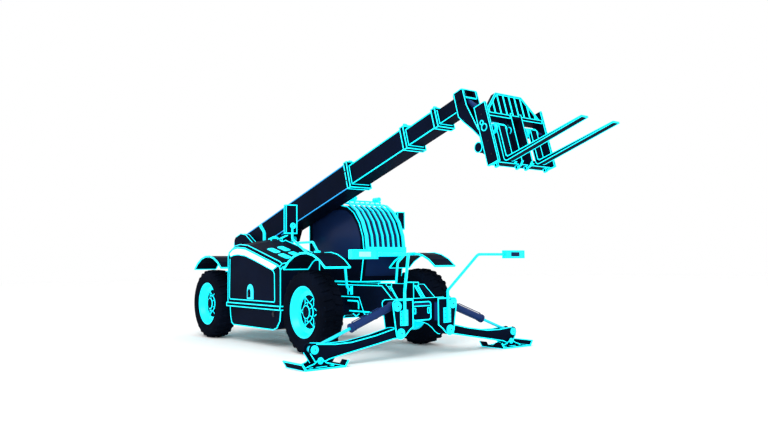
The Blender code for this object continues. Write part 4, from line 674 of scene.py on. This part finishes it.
def hood_side():
    """The hood's flank: a lit inner border under a blank pale strip, and the latch."""
    y = HOOD_SIDE
    upper = [(-2.74, 1.600), (-2.60, 1.668), (-2.42, 1.690), (-2.10, 1.664), (-1.73, 1.574), (-0.93, 1.364)]
    lower = [(-1.10, 1.296), (-1.73, 1.462), (-2.10, 1.550), (-2.38, 1.576), (-2.55, 1.572), (-2.70, 1.545)]
    bm = bmesh.new()
    line_of(bm, [spot(x, y, z) for x, z in upper + lower], 0.010, closed=True)
    border = [(-2.72, 1.50), (-2.735, 0.80), (-2.71, 0.765), (-1.04, 0.765), (-1.02, 0.79), (-1.03, 1.23),
              (-1.06, 1.27), (-1.10, 1.296)]
    line_of(bm, [spot(x, y, z) for x, z in border], 0.008)
    made(bm, "hood_border", CYAN_PIPING, "engine_cover", 70)
    bm = bmesh.new()
    plate(bm, upper + lower, 0.005, moved(spot(0, y + 0.001, 0)) @ UPRIGHT)
    made(bm, "hood_blank_strip", PALE_STRIP_PAINTED_GLOW, "engine_cover")
    latch = moved(spot(-1.90, y + 0.001, 0.785)) @ UPRIGHT
    bm = bmesh.new()
    plate(bm, arch(0.24, 0.265), 0.010, latch, 0.003)
    made(bm, "hood_latch_plate", CYAN_ENAMEL_PAINTED_GLOW, "engine_cover")
    # a dark arch standing proud of the latch plate: painted shade in place of its recess
    bm = bmesh.new()
    plate(bm, arch(0.115, 0.150), 0.013, latch @ moved((-0.035, 0.030, 0)), 0.002)
    made(bm, "hood_latch_recess_painted_shade", FRAME_ENAMEL, "engine_cover")
    bm = bmesh.new()
    bar(bm, latch @ Vector((-0.035, 0.085, 0.012)), latch @ Vector((-0.035, 0.085, 0.022)), 0.018, 20)
    block(bm, (-0.045, 0.045, 0.018), (-0.025, 0.125, 0.026), 0.003, latch)
    made(bm, "hood_latch_paddle", DARK_STEEL, "engine_cover")


def hood_top():
    """Four louvred vents let into the hood's sloping top, and its lifting handle."""
    forwards, inwards = -0.263, 0.1695      # how fast the top rises each way
    normal = Vector((-forwards, -inwards, 1)).normalized()
    across = Vector((0, 1, inwards)).normalized()
    onward = across.cross(normal).normalized()
    frames, blades = bmesh.new(), bmesh.new()
    for x in (-1.53, -1.14):
        for y in (-0.94, -0.74):
            z = 1.5924 + forwards * (x + 1.53) + inwards * (y + 1.15)
            place = moved(spot(x, y, z + 0.001)) @ Matrix((onward, across, normal)).transposed().to_4x4()
            plate(frames, rounded_outline(0.32, 0.125, 0.05), 0.010, place, 0.003)
            for i in range(5):
                u = -0.10 + 0.05 * i
                tilt = place @ moved((u, 0, 0.011)) @ turned(25, "Y")
                block(blades, (-0.014, -0.042, -0.0015), (0.014, 0.042, 0.0025), 0.001, tilt)
    made(frames, "hood_vent_frames", CYAN_ENAMEL_PAINTED_GLOW, "engine_cover")
    made(blades, "hood_vent_louvres", CYAN_PIPING, "engine_cover")
    bm = bmesh.new()
    z = 1.735 + inwards * 0.55
    handle = [(-0.66, z), (-0.66, z + 0.045), (-0.52, z + 0.070), (-0.52, z + 0.020)]
    bent_tube(bm, rounded([spot(-2.14, y, height) for y, height in handle], 0.02), 0.009, 10)
    made(bm, "hood_handle", CYAN_PIPING, "engine_cover")


def engine_dressing():
    """What shows on the engine when the hood is up: a rocker cover, a ribbed sump, a filter and a pulley."""
    low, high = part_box("engine_block")
    bm = bmesh.new()
    middle = (low + high) / 2
    block(bm, (low.x + 0.10, middle.y - 0.13, high.z), (high.x - 0.20, middle.y + 0.13, high.z + 0.07), 0.02)
    for i in range(7):
        x = low.x + 0.16 + i * 0.09
        block(bm, (x, low.y - 0.012, low.z + 0.10), (x + 0.03, low.y, high.z - 0.08), 0.004)
    made(bm, "engine_covers", FRAME_ENAMEL)
    bm = bmesh.new()
    bar(bm, (high.x - 0.12, middle.y, high.z), (high.x - 0.12, middle.y, high.z + 0.10), 0.05, 28)
    bar(bm, (high.x, middle.y, middle.z), (high.x + 0.05, middle.y, middle.z), 0.11, 32)
    bar(bm, (high.x + 0.05, middle.y, middle.z), (high.x + 0.07, middle.y, middle.z), 0.05, 24)
    made(bm, "engine_filter_and_pulley", DARK_STEEL)


def exhaust_tip():
    """The stack's end, with its rolled lip and a dark disc as painted shade of its open mouth, and a clamp half
    way up.
    """
    x, y = AXLE_X - 2.930, -0.380
    lean = Vector((-0.17, 0, 0.14)).normalized()
    end = Vector((x - 0.17, y, 2.16))
    bm = bmesh.new()
    ring(bm, end - lean * 0.012, lean, 0.024, 0.034, 0.016, 28)
    ring(bm, Vector((x, y, 1.55)), (0, 0, 1), 0.030, 0.038, 0.030, 28)
    block(bm, (x - 0.010, y - 0.058, 1.538), (x + 0.010, y - 0.034, 1.562), 0.003)
    made(bm, "exhaust_lip_and_clamp", CYAN_PIPING)
    # a dark disc closing the stack's end: painted shade of its open mouth
    bm = bmesh.new()
    bar(bm, end - lean * 0.010, end + lean * 0.001, 0.024, 28)
    made(bm, "exhaust_mouth_painted_shade", FRAME_ENAMEL)


def tank_fittings():
    """Filler caps and the steps' treads."""
    low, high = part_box("fuel_tank")
    caps, treads = bmesh.new(), bmesh.new()
    bar(caps, (high.x - 0.25, low.y - 0.004, 0.56), (high.x - 0.25, low.y + 0.01, 0.56), 0.050, 28)
    bar(caps, (high.x - 0.25, low.y - 0.012, 0.56), (high.x - 0.25, low.y - 0.004, 0.56), 0.036, 8)
    low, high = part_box("hydraulic_tank")
    side = high.y - 0.16
    bar(caps, spot(-1.42, side - 0.01, 0.86), spot(-1.42, side + 0.012, 0.86), 0.045, 28)
    bar(caps, spot(-1.42, side + 0.012, 0.86), spot(-1.42, side + 0.022, 0.86), 0.032, 8)
    made(caps, "filler_caps", DARK_STEEL)
    for z, reach in ((0.455, 1.18), (0.755, 1.14)):
        for i in range(9):
            x = -2.06 + i * 0.065
            block(treads, spot(x, 1.03, z), spot(x + 0.018, reach - 0.01, z + 0.005), 0.0015)
    made(treads, "step_treads", CYAN_PIPING)


hood_side()
hood_top()
engine_dressing()
exhaust_tip()
tank_fittings()

# ---------------------------------------------------------------- stabilisers and lamps
STABILISER_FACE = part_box("stabiliser_frame")[1].x - 0.020     # the front lug plate


def pin_head(bm, hole_shade_dots, place, out, radius, proud=0.024):
    """A domed head on a pin, with a grooved ring and a dark disc as painted shade of its centre hole. out: the way
    that it faces.
    """
    here = moved(place) @ facing(out)
    lathe(bm, [(0.0, 0.0), (radius, 0.0), (radius, proud * 0.45), (radius * 0.93, proud * 0.62),
               (radius * 0.78, proud * 0.62), (radius * 0.74, proud * 0.50), (radius * 0.68, proud * 0.62),
               (radius * 0.30, proud), (0.0, proud)], here, 40)
    # a dark disc on the dome's top: painted shade where the centre hole would be
    bar(hole_shade_dots, (0, 0, proud - 0.002), (0, 0, proud + 0.0015), radius * 0.17, 16, here)


def pins(name, body, places):
    """Domed heads with dark discs as painted shade of their centre holes. places: where each one is, the way it
    faces, its radius and height.
    """
    heads, hole_shade_dots = bmesh.new(), bmesh.new()
    for place in places:
        pin_head(heads, hole_shade_dots, *place)
    made(heads, name + "_heads", CYAN_ENAMEL_PAINTED_GLOW, body)
    made(hole_shade_dots, name + "_hole_painted_shade", DARK_STEEL, body)


def stabiliser_dressing(word, side):
    """The pins of the lugs, the cylinder's rod and the foot, and the ribs on the foot."""
    leg, foot = at(word + "_stabiliser_swing"), at(word + "_foot_tilt")
    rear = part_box("stabiliser_frame")[0].x + 0.020
    half = 0.085        # of the leg's depth
    lug_pins = []
    for pin in (leg, at(word + "_stabiliser_cylinder_swing")):
        lug_pins.append(((STABILISER_FACE, pin.y, pin.z), (1, 0, 0), 0.073, 0.027))
        lug_pins.append(((rear, pin.y, pin.z), (-1, 0, 0), 0.060, 0.025))
    pins(word + "_lug_pin", "machine", lug_pins)
    rod_eye = leg + Vector((0, side * 1.442, -0.124))
    pins(word + "_rod_pin", word + "_leg",
         [(rod_eye + Vector((out * half, 0, 0)), (out, 0, 0), 0.060, 0.022) for out in (1, -1)])
    pins(word + "_foot_pin", word + "_foot",
         [(foot + Vector((out * (half + 0.0255), 0, 0)), (out, 0, 0), 0.047, 0.018) for out in (1, -1)])
    bm = bmesh.new()
    low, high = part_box(word + "_stabiliser_foot")
    for i in (-2, -1, 1, 2):
        y = foot.y + i * 0.11
        block(bm, (low.x + 0.03, y - 0.006, low.z + 0.011), (high.x - 0.03, y + 0.006, low.z + 0.026), 0.002)
    made(bm, word + "_foot_ribs", FRAME_ENAMEL, word + "_foot")


def cylinder_rings(word, radius, length):
    """The gland ring, the two bands and the rigid oil pipe on a cylinder's barrel."""
    base = at(word + "_cylinder_swing")
    stroke = Vector(JOINTS[word + "_cylinder_stroke"]["axis"]).normalized()
    bm = bmesh.new()
    for reach, width, proud in ((length - 0.020, 0.036, 0.009), (length - 0.075, 0.012, 0.005),
                                (0.20, 0.014, 0.005)):
        ring(bm, base + stroke * reach, stroke, radius - 0.004, radius + proud, width, 32)
    made(bm, word + "_rings", BARREL_BLUE, word + "_barrel")
    bm = bmesh.new()
    level = Vector((1, 0, 0)) if abs(stroke.y) > 0.3 else Vector((0, 1, 0))
    above = level.cross(stroke).normalized()
    if above.z < 0:
        above = -above
    start, end = base + stroke * 0.24, base + stroke * (length - 0.06)
    near, far = above * (radius - 0.01), above * (radius + 0.014)
    bent_tube(bm, rounded([start + near, start + far, end + far, end + near], 0.008, 3), 0.007, 8)
    made(bm, word + "_pipe", BARREL_BLUE, word + "_barrel")


def lamp(word, side, lens):
    """The bolted bracket, the saddle round the tube, and the lamp head's frame and lens."""
    bm, hole_shade_dots = bmesh.new(), bmesh.new()
    ys = sorted((side * 0.354, side * 0.496))
    block(bm, (STABILISER_FACE + 0.001, ys[0], 0.482), (STABILISER_FACE + 0.015, ys[1], 0.700), 0.005)
    # dark discs on the bracket's face: painted shade of its bolt holes
    for z in (0.505, 0.562, 0.620, 0.677):
        for y in (0.376, 0.474):
            bar(hole_shade_dots, (STABILISER_FACE + 0.013, side * y, z), (STABILISER_FACE + 0.0165, side * y, z),
                0.010, 12)
    for z in (0.53, 0.66):
        ring(bm, (STABILISER_FACE + 0.028, side * 0.425, z), (0, 0, 1), 0.021, 0.030, 0.030, 24)
    made(bm, word + "_lamp_bracket", CYAN_ENAMEL_PAINTED_GLOW)
    made(hole_shade_dots, word + "_lamp_bracket_hole_painted_shade", DARK_STEEL)
    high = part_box(word + "_lamp_stalk")[1]
    face, top, foot = high.x, high.z, high.z - 0.125
    ys = sorted((side * 1.667, side * 1.242))
    bm = bmesh.new()
    wide = 0.014
    for y0, z0, y1, z1 in ((ys[0], foot, ys[1], foot + wide), (ys[0], top - wide, ys[1], top),
                           (ys[0], foot, ys[0] + wide, top), (ys[1] - wide, foot, ys[1], top)):
        block(bm, (face - 0.004, y0, z0), (face + 0.007, y1, z1), 0.003)
    made(bm, word + "_lamp_frame", CYAN_PIPING)
    bm = bmesh.new()
    block(bm, (face - 0.002, ys[0] + 0.012, foot + 0.012), (face + 0.002, ys[1] - 0.012, top - 0.012), 0.002)
    made(bm, word + "_lamp_face", CYAN_ENAMEL_PAINTED_GLOW)
    bm = bmesh.new()
    middle = side * 1.455
    block(bm, (face, middle - 0.095, foot + 0.030), (face + 0.005, middle + 0.095, top - 0.030), 0.003)
    for i in range(6):
        y = middle - 0.075 + i * 0.030
        block(bm, (face + 0.004, y - 0.003, foot + 0.034), (face + 0.0065, y + 0.003, top - 0.034), 0.001)
    made(bm, word + "_lamp_lens", lens)
    bm = bmesh.new()
    for i in range(6):
        y = ys[0] + 0.06 + i * 0.06
        block(bm, (face - 0.092, y - 0.004, foot + 0.012), (face - 0.078, y + 0.004, top - 0.012), 0.001)
    made(bm, word + "_lamp_cooling_fins", SHADED_CYAN_PAINTED_GLOW)


def cross_member_window():
    """The box between the lug plates: a rounded lit border, a bright sill and two lit slots."""
    x = AXLE_X + 1.331
    bm = bmesh.new()
    turn = moved((x, 0, 0.670)) @ Matrix(((0, 0, 1), (1, 0, 0), (0, 1, 0))).to_4x4()
    outline = rounded_outline(0.36, 0.27, 0.045)
    line_of(bm, [turn @ Vector((a, b, 0)) for a, b in outline], 0.009, closed=True)
    line_of(bm, [turn @ Vector((a, 0.075, 0)) for a in (-0.17, 0.17)], 0.007)
    for side in (1, -1):
        slot = rounded_outline(0.038, 0.080, 0.012)
        line_of(bm, [turn @ Vector((a + side * 0.137, b + 0.005, 0)) for a, b in slot], 0.007, closed=True)
    made(bm, "cross_member_border", CYAN_PIPING, smooth=70)
    bm = bmesh.new()
    block(bm, (x - 0.003, -0.165, 0.757), (x + 0.004, 0.165, 0.775), 0.002)
    block(bm, (x - 0.003, -0.165, 0.783), (x + 0.004, 0.165, 0.796), 0.002)
    made(bm, "cross_member_sill", BARREL_BLUE)
    # broad blue sheets inside the lugs: painted shading, the blue that light gives the lugs' inner faces
    bm = bmesh.new()
    for side in (1, -1):
        ys = sorted((side * 0.2485, side * 0.2500))
        block(bm, (STABILISER_FACE - 0.090, ys[0], 0.52), (STABILISER_FACE - 0.001, ys[1], 0.79), 0.0)
    made(bm, "cross_member_painted_shading", BARREL_BLUE)


for word, side in (("left", 1), ("right", -1)):
    stabiliser_dressing(word, side)
    lamp(word, side, TINTED_GLASS if side > 0 else LAMP_LENS)
    cylinder_rings(word + "_stabiliser", 0.058, 0.80)
cylinder_rings("lift", 0.075, 1.15)
cylinder_rings("tilt", 0.038, 0.62)
cross_member_window()

# ---------------------------------------------------------------- mirrors and mudguard stays
def tubes():
    """Cyan sleeves on the mirror stands and on the mudguards' stays."""
    bm = bmesh.new()
    right, rail = -1.07, 1.735
    stand = [(-0.665, 2.02), (-0.665, 1.81), (-0.545, rail), (-0.03, rail), (0.115, 1.585)]
    bent_tube(bm, rounded([spot(x, right, z) for x, z in stand], 0.04), 0.0185, 12)
    bar(bm, spot(-0.535, right, rail), spot(-0.185, right, 1.560), 0.0185, 12)
    left = [spot(-1.02, 1.211, 2.30), spot(-1.02, 1.30, 2.30), spot(-0.765, 1.30, 2.30)]
    bent_tube(bm, rounded(left, 0.05), 0.0165, 12)
    for x in (AXLE_X, REAR_AXLE_X):
        for side in (1, -1):
            path = [(0.442, 0.96), (0.50, 1.02), (0.54, 1.40), (0.70, 1.540), (1.12, 1.548)]
            bent_tube(bm, rounded([(x + 0.08, side * y, z) for y, z in path], 0.06, 3), 0.0205, 10)
    made(bm, "mirror_stands_and_stays", CYAN_ENAMEL_PAINTED_GLOW)


def mirrors():
    """The right mirror's ball joint, and each mirror's rim and its silvered glass, which faces back to the driver.
    """
    heads, hole_shade_dots, rims, glass = (bmesh.new() for _ in range(4))
    pin_head(heads, hole_shade_dots, spot(-0.645, -1.07, 2.02), (1, 0, 0), 0.052, 0.016)
    for x, ys, zs in ((-0.755, (-1.17, -0.97), (1.900, 2.365)), (-0.810, (1.215, 1.375), (2.020, 2.335))):
        middle = spot(x, sum(ys) / 2, sum(zs) / 2)
        back = moved(middle) @ Matrix(((0, 0, -1), (-1, 0, 0), (0, 1, 0))).to_4x4()
        wide, tall = ys[1] - ys[0], zs[1] - zs[0]
        plate(glass, rounded_outline(wide - 0.030, tall - 0.030, 0.020), 0.003, back)
        outline = rounded_outline(wide - 0.016, tall - 0.016, 0.026)
        line_of(rims, [back @ Vector((a, b, 0.002)) for a, b in outline], 0.006, closed=True)
    made(heads, "mirror_ball_joint", CYAN_ENAMEL_PAINTED_GLOW)
    # a dark disc on the ball joint: painted shade of its centre hole
    made(hole_shade_dots, "mirror_ball_hole_painted_shade", DARK_STEEL)
    made(rims, "mirror_rims", CYAN_PIPING, smooth=70)
    made(glass, "mirror_glasses", MIRROR_GLASS)


tubes()
mirrors()

# ---------------------------------------------------------------- boom and carriage
def boom_dressing():
    """Roller blocks with a chain anchor on the collars, and the bolts of their wear pads."""
    for node, body in (("boom_outer_section", "boom"), ("boom_second_section", "boom_section_2"),
                       ("boom_third_section", "boom_section_3")):
        points = seen_from(BOOM, node)
        front, top = max(p.x for p in points), max(p.z for p in points)
        bm = bmesh.new()
        axis_x, axis_z = front - 0.060, top + 0.030
        for y in (-0.085, 0.085):
            block(bm, (front - 0.105, y - 0.030, top - 0.004), (front - 0.015, y + 0.030, top + 0.022), 0.006,
                  BOOM)
            bar(bm, (axis_x, y - 0.026, axis_z), (axis_x, y + 0.026, axis_z), 0.024, 20, BOOM)
        bar(bm, (front - 0.030, -0.050, top + 0.010), (front - 0.030, 0.050, top + 0.010), 0.012, 12, BOOM)
        made(bm, node + "_rollers", CYAN_ENAMEL_PAINTED_GLOW, body)
        bm = bmesh.new()
        half = max(p.y for p in points)
        for side in (1, -1):
            for z in (-0.10, 0.06):
                bar(bm, (front - 0.030, side * half, z), (front - 0.030, side * (half + 0.010), z), 0.014, 6,
                    BOOM)
        made(bm, node + "_pad_bolts", DARK_STEEL, body)


SHAFT_X, SHAFT_Z = 0.394, 0.076       # the forks' shaft, in the carriage's frame


def keyhole(bm, y, out):
    """A large ring with a small one above it, standing off a carriage plate's face."""
    for x, z, radius in ((SHAFT_X, SHAFT_Z, 0.052), (0.372, 0.150, 0.034)):
        ring(bm, CARRIAGE @ Vector((x, y, z)), (0, out, 0), radius - 0.014, radius, 0.012, 32)


def carriage_dressing():
    """Ringed shaft ends, collars either side of each fork, the shaft's sleeves and the side plates' bolts."""
    bm = bmesh.new()
    for side in (1, -1):
        keyhole(bm, side * (PLATE_HALF + 0.003), side)
        keyhole(bm, side * 0.1025, side)
        for y in (0.215, 0.385):
            ring(bm, CARRIAGE @ Vector((SHAFT_X, side * y, SHAFT_Z)), (0, 1, 0), 0.034, 0.066, 0.050, 32)
        ring(bm, CARRIAGE @ Vector((SHAFT_X, side * 0.300, 0.124)), (0, 1, 0), 0.012, 0.030, 0.100, 20)
    made(bm, "fork_collars_and_rings", CYAN_ENAMEL_PAINTED_GLOW, "carriage")
    bm = bmesh.new()
    for side in (1, -1):
        start, end = (CARRIAGE @ Vector((SHAFT_X, side * y, SHAFT_Z)) for y in (0.176, 0.519))
        ring(bm, (start + end) / 2, (0, 1, 0), 0.033, 0.038, (end - start).length, 28)
    made(bm, "fork_shaft_sleeves", BARREL_BLUE, "carriage")
    bm = bmesh.new()
    for side in (1, -1):
        for z in (-0.30, -0.12, 0.25, 0.34):
            start = CARRIAGE @ Vector((PLATE_FRONT - 0.095, side * PLATE_HALF, z))
            bar(bm, start, start + Vector((0, side * 0.008, 0)), 0.013, 6)
    made(bm, "carriage_plate_bolts", DARK_STEEL, "carriage")


boom_dressing()
carriage_dressing()

# ---------------------------------------------------------------- frame fittings
def rail_fittings():
    """Lit brackets and the step bar on the right rail."""
    y = -0.452
    bm = bmesh.new()
    for points, radius in (([(0.04, 0.800), (0.30, 0.800), (0.33, 0.770), (0.33, 0.680)], 0.011),
                           ([(0.05, 0.640), (0.62, 0.640), (0.74, 0.610)], 0.011),
                           ([(0.18, 0.600), (0.26, 0.560), (0.34, 0.600)], 0.008)):
        line_of(bm, [spot(x, y, z) for x, z in points], radius)
    made(bm, "rail_brackets", CYAN_PIPING, smooth=70)


def rear_fittings():
    """Tail lamps in cyan housings with a painted glow, and the counterweight's bolts."""
    low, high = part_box("counterweight")
    housings, lenses, bolts = bmesh.new(), bmesh.new(), bmesh.new()
    for side in (1, -1):
        y = (low.y + high.y) / 2 + side * (high.y - low.y) * 0.36
        z = high.z - 0.10
        block(housings, (low.x - 0.012, y - 0.085, z - 0.045), (low.x + 0.02, y + 0.085, z + 0.045), 0.008)
        block(lenses, (low.x - 0.020, y - 0.070, z - 0.030), (low.x - 0.010, y + 0.070, z + 0.030), 0.005)
        for dz in (0.18, 0.34):
            bar(bolts, (low.x - 0.014, y, high.z - dz), (low.x + 0.01, y, high.z - dz), 0.020, 6)
    # the housings' cyan enamel carries a painted glow, which makes them look lit
    made(housings, "tail_lamp_housings", CYAN_ENAMEL_PAINTED_GLOW)
    made(lenses, "tail_lamp_lenses", RED_LENS)
    made(bolts, "counterweight_bolts", DARK_STEEL)


rail_fittings()
rear_fittings()

# ---------------------------------------------------------------- inside the cab
def baked(obj):
    """The object's mesh as its modifiers leave it."""
    graph = bpy.context.evaluated_depsgraph_get()
    return bpy.data.meshes.new_from_object(obj.evaluated_get(graph))


def inflate(pad, cap):
    """Fills a pad: cloth under pressure and without gravity, in which no point moves further than cap."""
    scene = bpy.context.scene
    even = pad.modifiers.new("even_mesh", "REMESH")
    even.mode, even.voxel_size = "VOXEL", 0.011
    mesh = baked(pad)
    pad.modifiers.remove(even)
    pad.data = mesh
    start = [vert.co.copy() for vert in mesh.vertices]
    cloth = pad.modifiers.new("filling", "CLOTH")
    cloth.settings.use_pressure = True
    cloth.settings.uniform_pressure_force = 4.0
    cloth.settings.effector_weights.gravity = 0.0
    cloth.point_cache.frame_start, cloth.point_cache.frame_end = 1, 20
    for step in range(1, 21):
        scene.frame_set(step)
    swollen = baked(pad)
    pad.modifiers.remove(cloth)
    pad.data = swollen
    for vert, place in zip(swollen.vertices, start):
        move = vert.co - place
        if move.length > cap:
            vert.co = place + move.normalized() * cap
    scene.frame_set(1)


def cushion(name, low, high, thin, channels, replaced=None):
    """A padded cushion: crowned faces, sides drawn in between the corners, sewn channels and a welt.

    thin: the axis of its thickness, 0 for x or 2 for z. channels: where stitching crosses it, from -1 to 1.
    """
    low, high = Vector(low), Vector(high)
    middle, half = (low + high) / 2, (high - low) / 2
    wide, tall = (axis for axis in range(3) if axis != thin)
    swell = 0.010
    inner = Vector(tuple(size - swell for size in half))
    bm = bmesh.new()
    bmesh.ops.create_cube(bm, size=2.0)
    bmesh.ops.subdivide_edges(bm, edges=bm.edges, cuts=15, use_grid_fill=True)
    for vert in bm.verts:
        p = vert.co.copy()
        u, v, w = p[wide], p[tall], p[thin]
        crown = (1 - u * u) * (1 - v * v)
        rim = max(abs(u), abs(v)) ** 10
        waist = 1 - 0.035 * (1 - (v * v if abs(u) > abs(v) else u * u))
        tuck = waist * (1 - 0.06 * abs(w) ** 4 * rim)
        p[wide], p[tall], p[thin] = u * tuck, v * tuck, w * (0.74 - 0.20 * rim + 0.22 * crown)
        vert.co = middle + Vector((p.x * inner.x, p.y * inner.y, p.z * inner.z))
    pad = made(bm, name, SEAT_FABRIC, smooth=180)
    inflate(pad, swell)
    for vert in pad.data.vertices:
        v, w = (vert.co[tall] - middle[tall]) / half[tall], (vert.co[thin] - middle[thin]) / half[thin]
        depth = sum(0.16 / (1 + ((v - channel) / 0.05) ** 2) for channel in channels)
        vert.co[thin] = middle[thin] + w * (1 - depth) * half[thin]
    pad.data.shade_smooth()
    soften = pad.modifiers.new("softening", "SUBSURF")
    soften.levels = soften.render_levels = 1
    if replaced:
        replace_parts(pad, replaced)
    bm = bmesh.new()
    welt = []
    for a, b in rounded_outline(2 * half[wide] * 0.965, 2 * half[tall] * 0.965, 0.05):
        point = middle.copy()
        point[wide] += a
        point[tall] += b
        welt.append(point)
    line_of(bm, welt, 0.006, closed=True)
    made(bm, name + "_welt", CYAN_PIPING, smooth=70)


def driving_seat():
    """Two cushions on a bellows suspension, with armrests."""
    low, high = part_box("seat")
    floor, y = low.z, (low.y + high.y) / 2
    cushion("seat_cushion", (low.x + 0.10, low.y, floor + 0.30), (high.x, high.y, floor + 0.43), 2,
            (-0.45, 0.45), "seat")
    cushion("seat_back", (low.x, low.y + 0.01, floor + 0.36), (low.x + 0.13, high.y - 0.01, high.z), 0,
            (-0.5, 0.1, 0.6))
    bm = bmesh.new()
    block(bm, (low.x + 0.12, y - 0.19, floor + 0.255), (low.x + 0.54, y + 0.19, floor + 0.305), 0.010)
    for i in range(5):
        z = floor + 0.045 + i * 0.042
        block(bm, (low.x + 0.18, y - 0.15, z), (low.x + 0.50, y + 0.15, z + 0.040), 0.014)
    block(bm, (low.x + 0.14, y - 0.18, floor), (low.x + 0.54, y + 0.18, floor + 0.045), 0.006)
    for side in (1, -1):
        arm = y + side * 0.235
        block(bm, (low.x + 0.10, arm - 0.028, floor + 0.585), (low.x + 0.42, arm + 0.028, floor + 0.625),
              0.014)
        bar(bm, (low.x + 0.06, arm, floor + 0.605), (low.x + 0.12, arm, floor + 0.605), 0.018, 16)
    made(bm, "seat_suspension_and_armrests", CAB_PLASTIC)


def controls():
    """The steering wheel on its column, the instrument pod, a lever and two pedals."""
    low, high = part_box("seat")
    floor, y = low.z, (low.y + high.y) / 2
    hub = spot(-1.22, y, floor + 0.66)
    lean = moved(hub) @ turned(-30, "Y")
    bm = bmesh.new()
    rim = [(0.180 + 0.015 * cos(pi * i / 6), 0.015 * sin(pi * i / 6)) for i in range(12)]
    lathe(bm, rim, lean, 56)
    for turn in (0, 120, 240):
        spin = lean @ turned(turn)
        block(bm, (0.03, -0.016, -0.006), (0.176, 0.016, 0.006), 0.004, spin)
    lathe(bm, [(0, -0.020), (0.046, -0.020), (0.050, 0.0), (0.044, 0.022), (0.0, 0.026)], lean, 32)
    bent_tube(bm, [spot(-0.99, y, floor + 0.04), spot(-1.20, y, floor + 0.62)], 0.030, 20)
    block(bm, spot(-1.06, y - 0.20, floor), spot(-0.86, y + 0.20, floor + 0.30), 0.025)
    block(bm, spot(-1.16, y - 0.11, floor + 0.50), spot(-1.02, y + 0.11, floor + 0.60), 0.020)
    for side in (1, -1):
        pedal = y + side * 0.10
        block(bm, spot(-1.12, pedal - 0.035, floor + 0.05), spot(-1.07, pedal + 0.035, floor + 0.15), 0.006)
    bar(bm, spot(-1.10, y, floor + 0.56), spot(-1.13, y + 0.20, floor + 0.61), 0.006, 10)
    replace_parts(made(bm, "steering_wheel_and_column", CAB_PLASTIC), "steering_column")
    bm = bmesh.new()
    for dial in (y - 0.05, y + 0.05):
        bar(bm, spot(-1.160, dial, floor + 0.565), spot(-1.164, dial, floor + 0.566), 0.032, 28)
    made(bm, "instruments", LAMP_LENS)


def door_fittings():
    """The door's pull handle with its lock."""
    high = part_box("cab_door")[1]
    face = high.y - 0.027
    bm = bmesh.new()
    x = high.x - 0.075
    bent_tube(bm, rounded([(x, face - 0.004, 1.30), (x, face + 0.024, 1.30), (x, face + 0.024, 1.50),
                           (x, face - 0.004, 1.50)], 0.014, 3), 0.009, 12)
    bar(bm, (x, face - 0.002, 1.555), (x, face + 0.008, 1.555), 0.018, 24)
    made(bm, "door_handle", CYAN_ENAMEL_PAINTED_GLOW, "cab_door")


driving_seat()
controls()
door_fittings()

# ---------------------------------------------------------------- floor, light and camera
def studio():
    """A pale floor, an even white sky, one broad lamp and the camera."""
    pale = finish("pale_floor", "#FFFFFF", 0.9, specular=0.1)
    bm = bmesh.new()
    bmesh.ops.create_grid(bm, x_segments=1, y_segments=1, size=60)
    mesh = bpy.data.meshes.new("floor")
    bm.to_mesh(mesh)
    bm.free()
    mesh.materials.append(pale)
    floor = bpy.data.objects.new("floor", mesh)
    bpy.context.scene.collection.objects.link(floor)
    sky = bpy.data.worlds.new("sky")
    sky.use_nodes = True
    sky.node_tree.nodes["Background"].inputs["Color"].default_value = linear("#FFFFFF")
    sky.node_tree.nodes["Background"].inputs["Strength"].default_value = 1.0
    bpy.context.scene.world = sky
    lamp = bpy.data.lights.new("broad_lamp", "AREA")
    lamp.shape, lamp.size, lamp.energy = "DISK", 8.0, 900.0
    holder = bpy.data.objects.new("broad_lamp", lamp)
    holder.location = (6.0, -8.0, 11.0)
    holder.rotation_euler = (Vector((0, 0, 1)) - holder.location).to_track_quat("-Z", "Y").to_euler()
    bpy.context.scene.collection.objects.link(holder)

    yaw, pitch, roll = 2.4888, 0.0664, -0.0098
    view = Vector((cos(yaw) * cos(pitch), sin(yaw) * cos(pitch), sin(pitch)))
    across = Vector((sin(yaw), -cos(yaw), 0))
    up = across.cross(view)
    across, up = across * cos(roll) + up * sin(roll), up * cos(roll) - across * sin(roll)
    lens = bpy.data.cameras.new("camera")
    lens.sensor_width, lens.lens, lens.clip_end = 36.0, 33.785, 200.0
    camera = bpy.data.objects.new("camera", lens)
    camera.matrix_world = moved((AXLE_X + 9.655, -7.061, 1.381)) @ Matrix(
        (across, up, -view)).transposed().to_4x4()
    bpy.context.scene.collection.objects.link(camera)
    bpy.context.scene.camera = camera
    bpy.context.scene.view_settings.view_transform = "Standard"


studio()
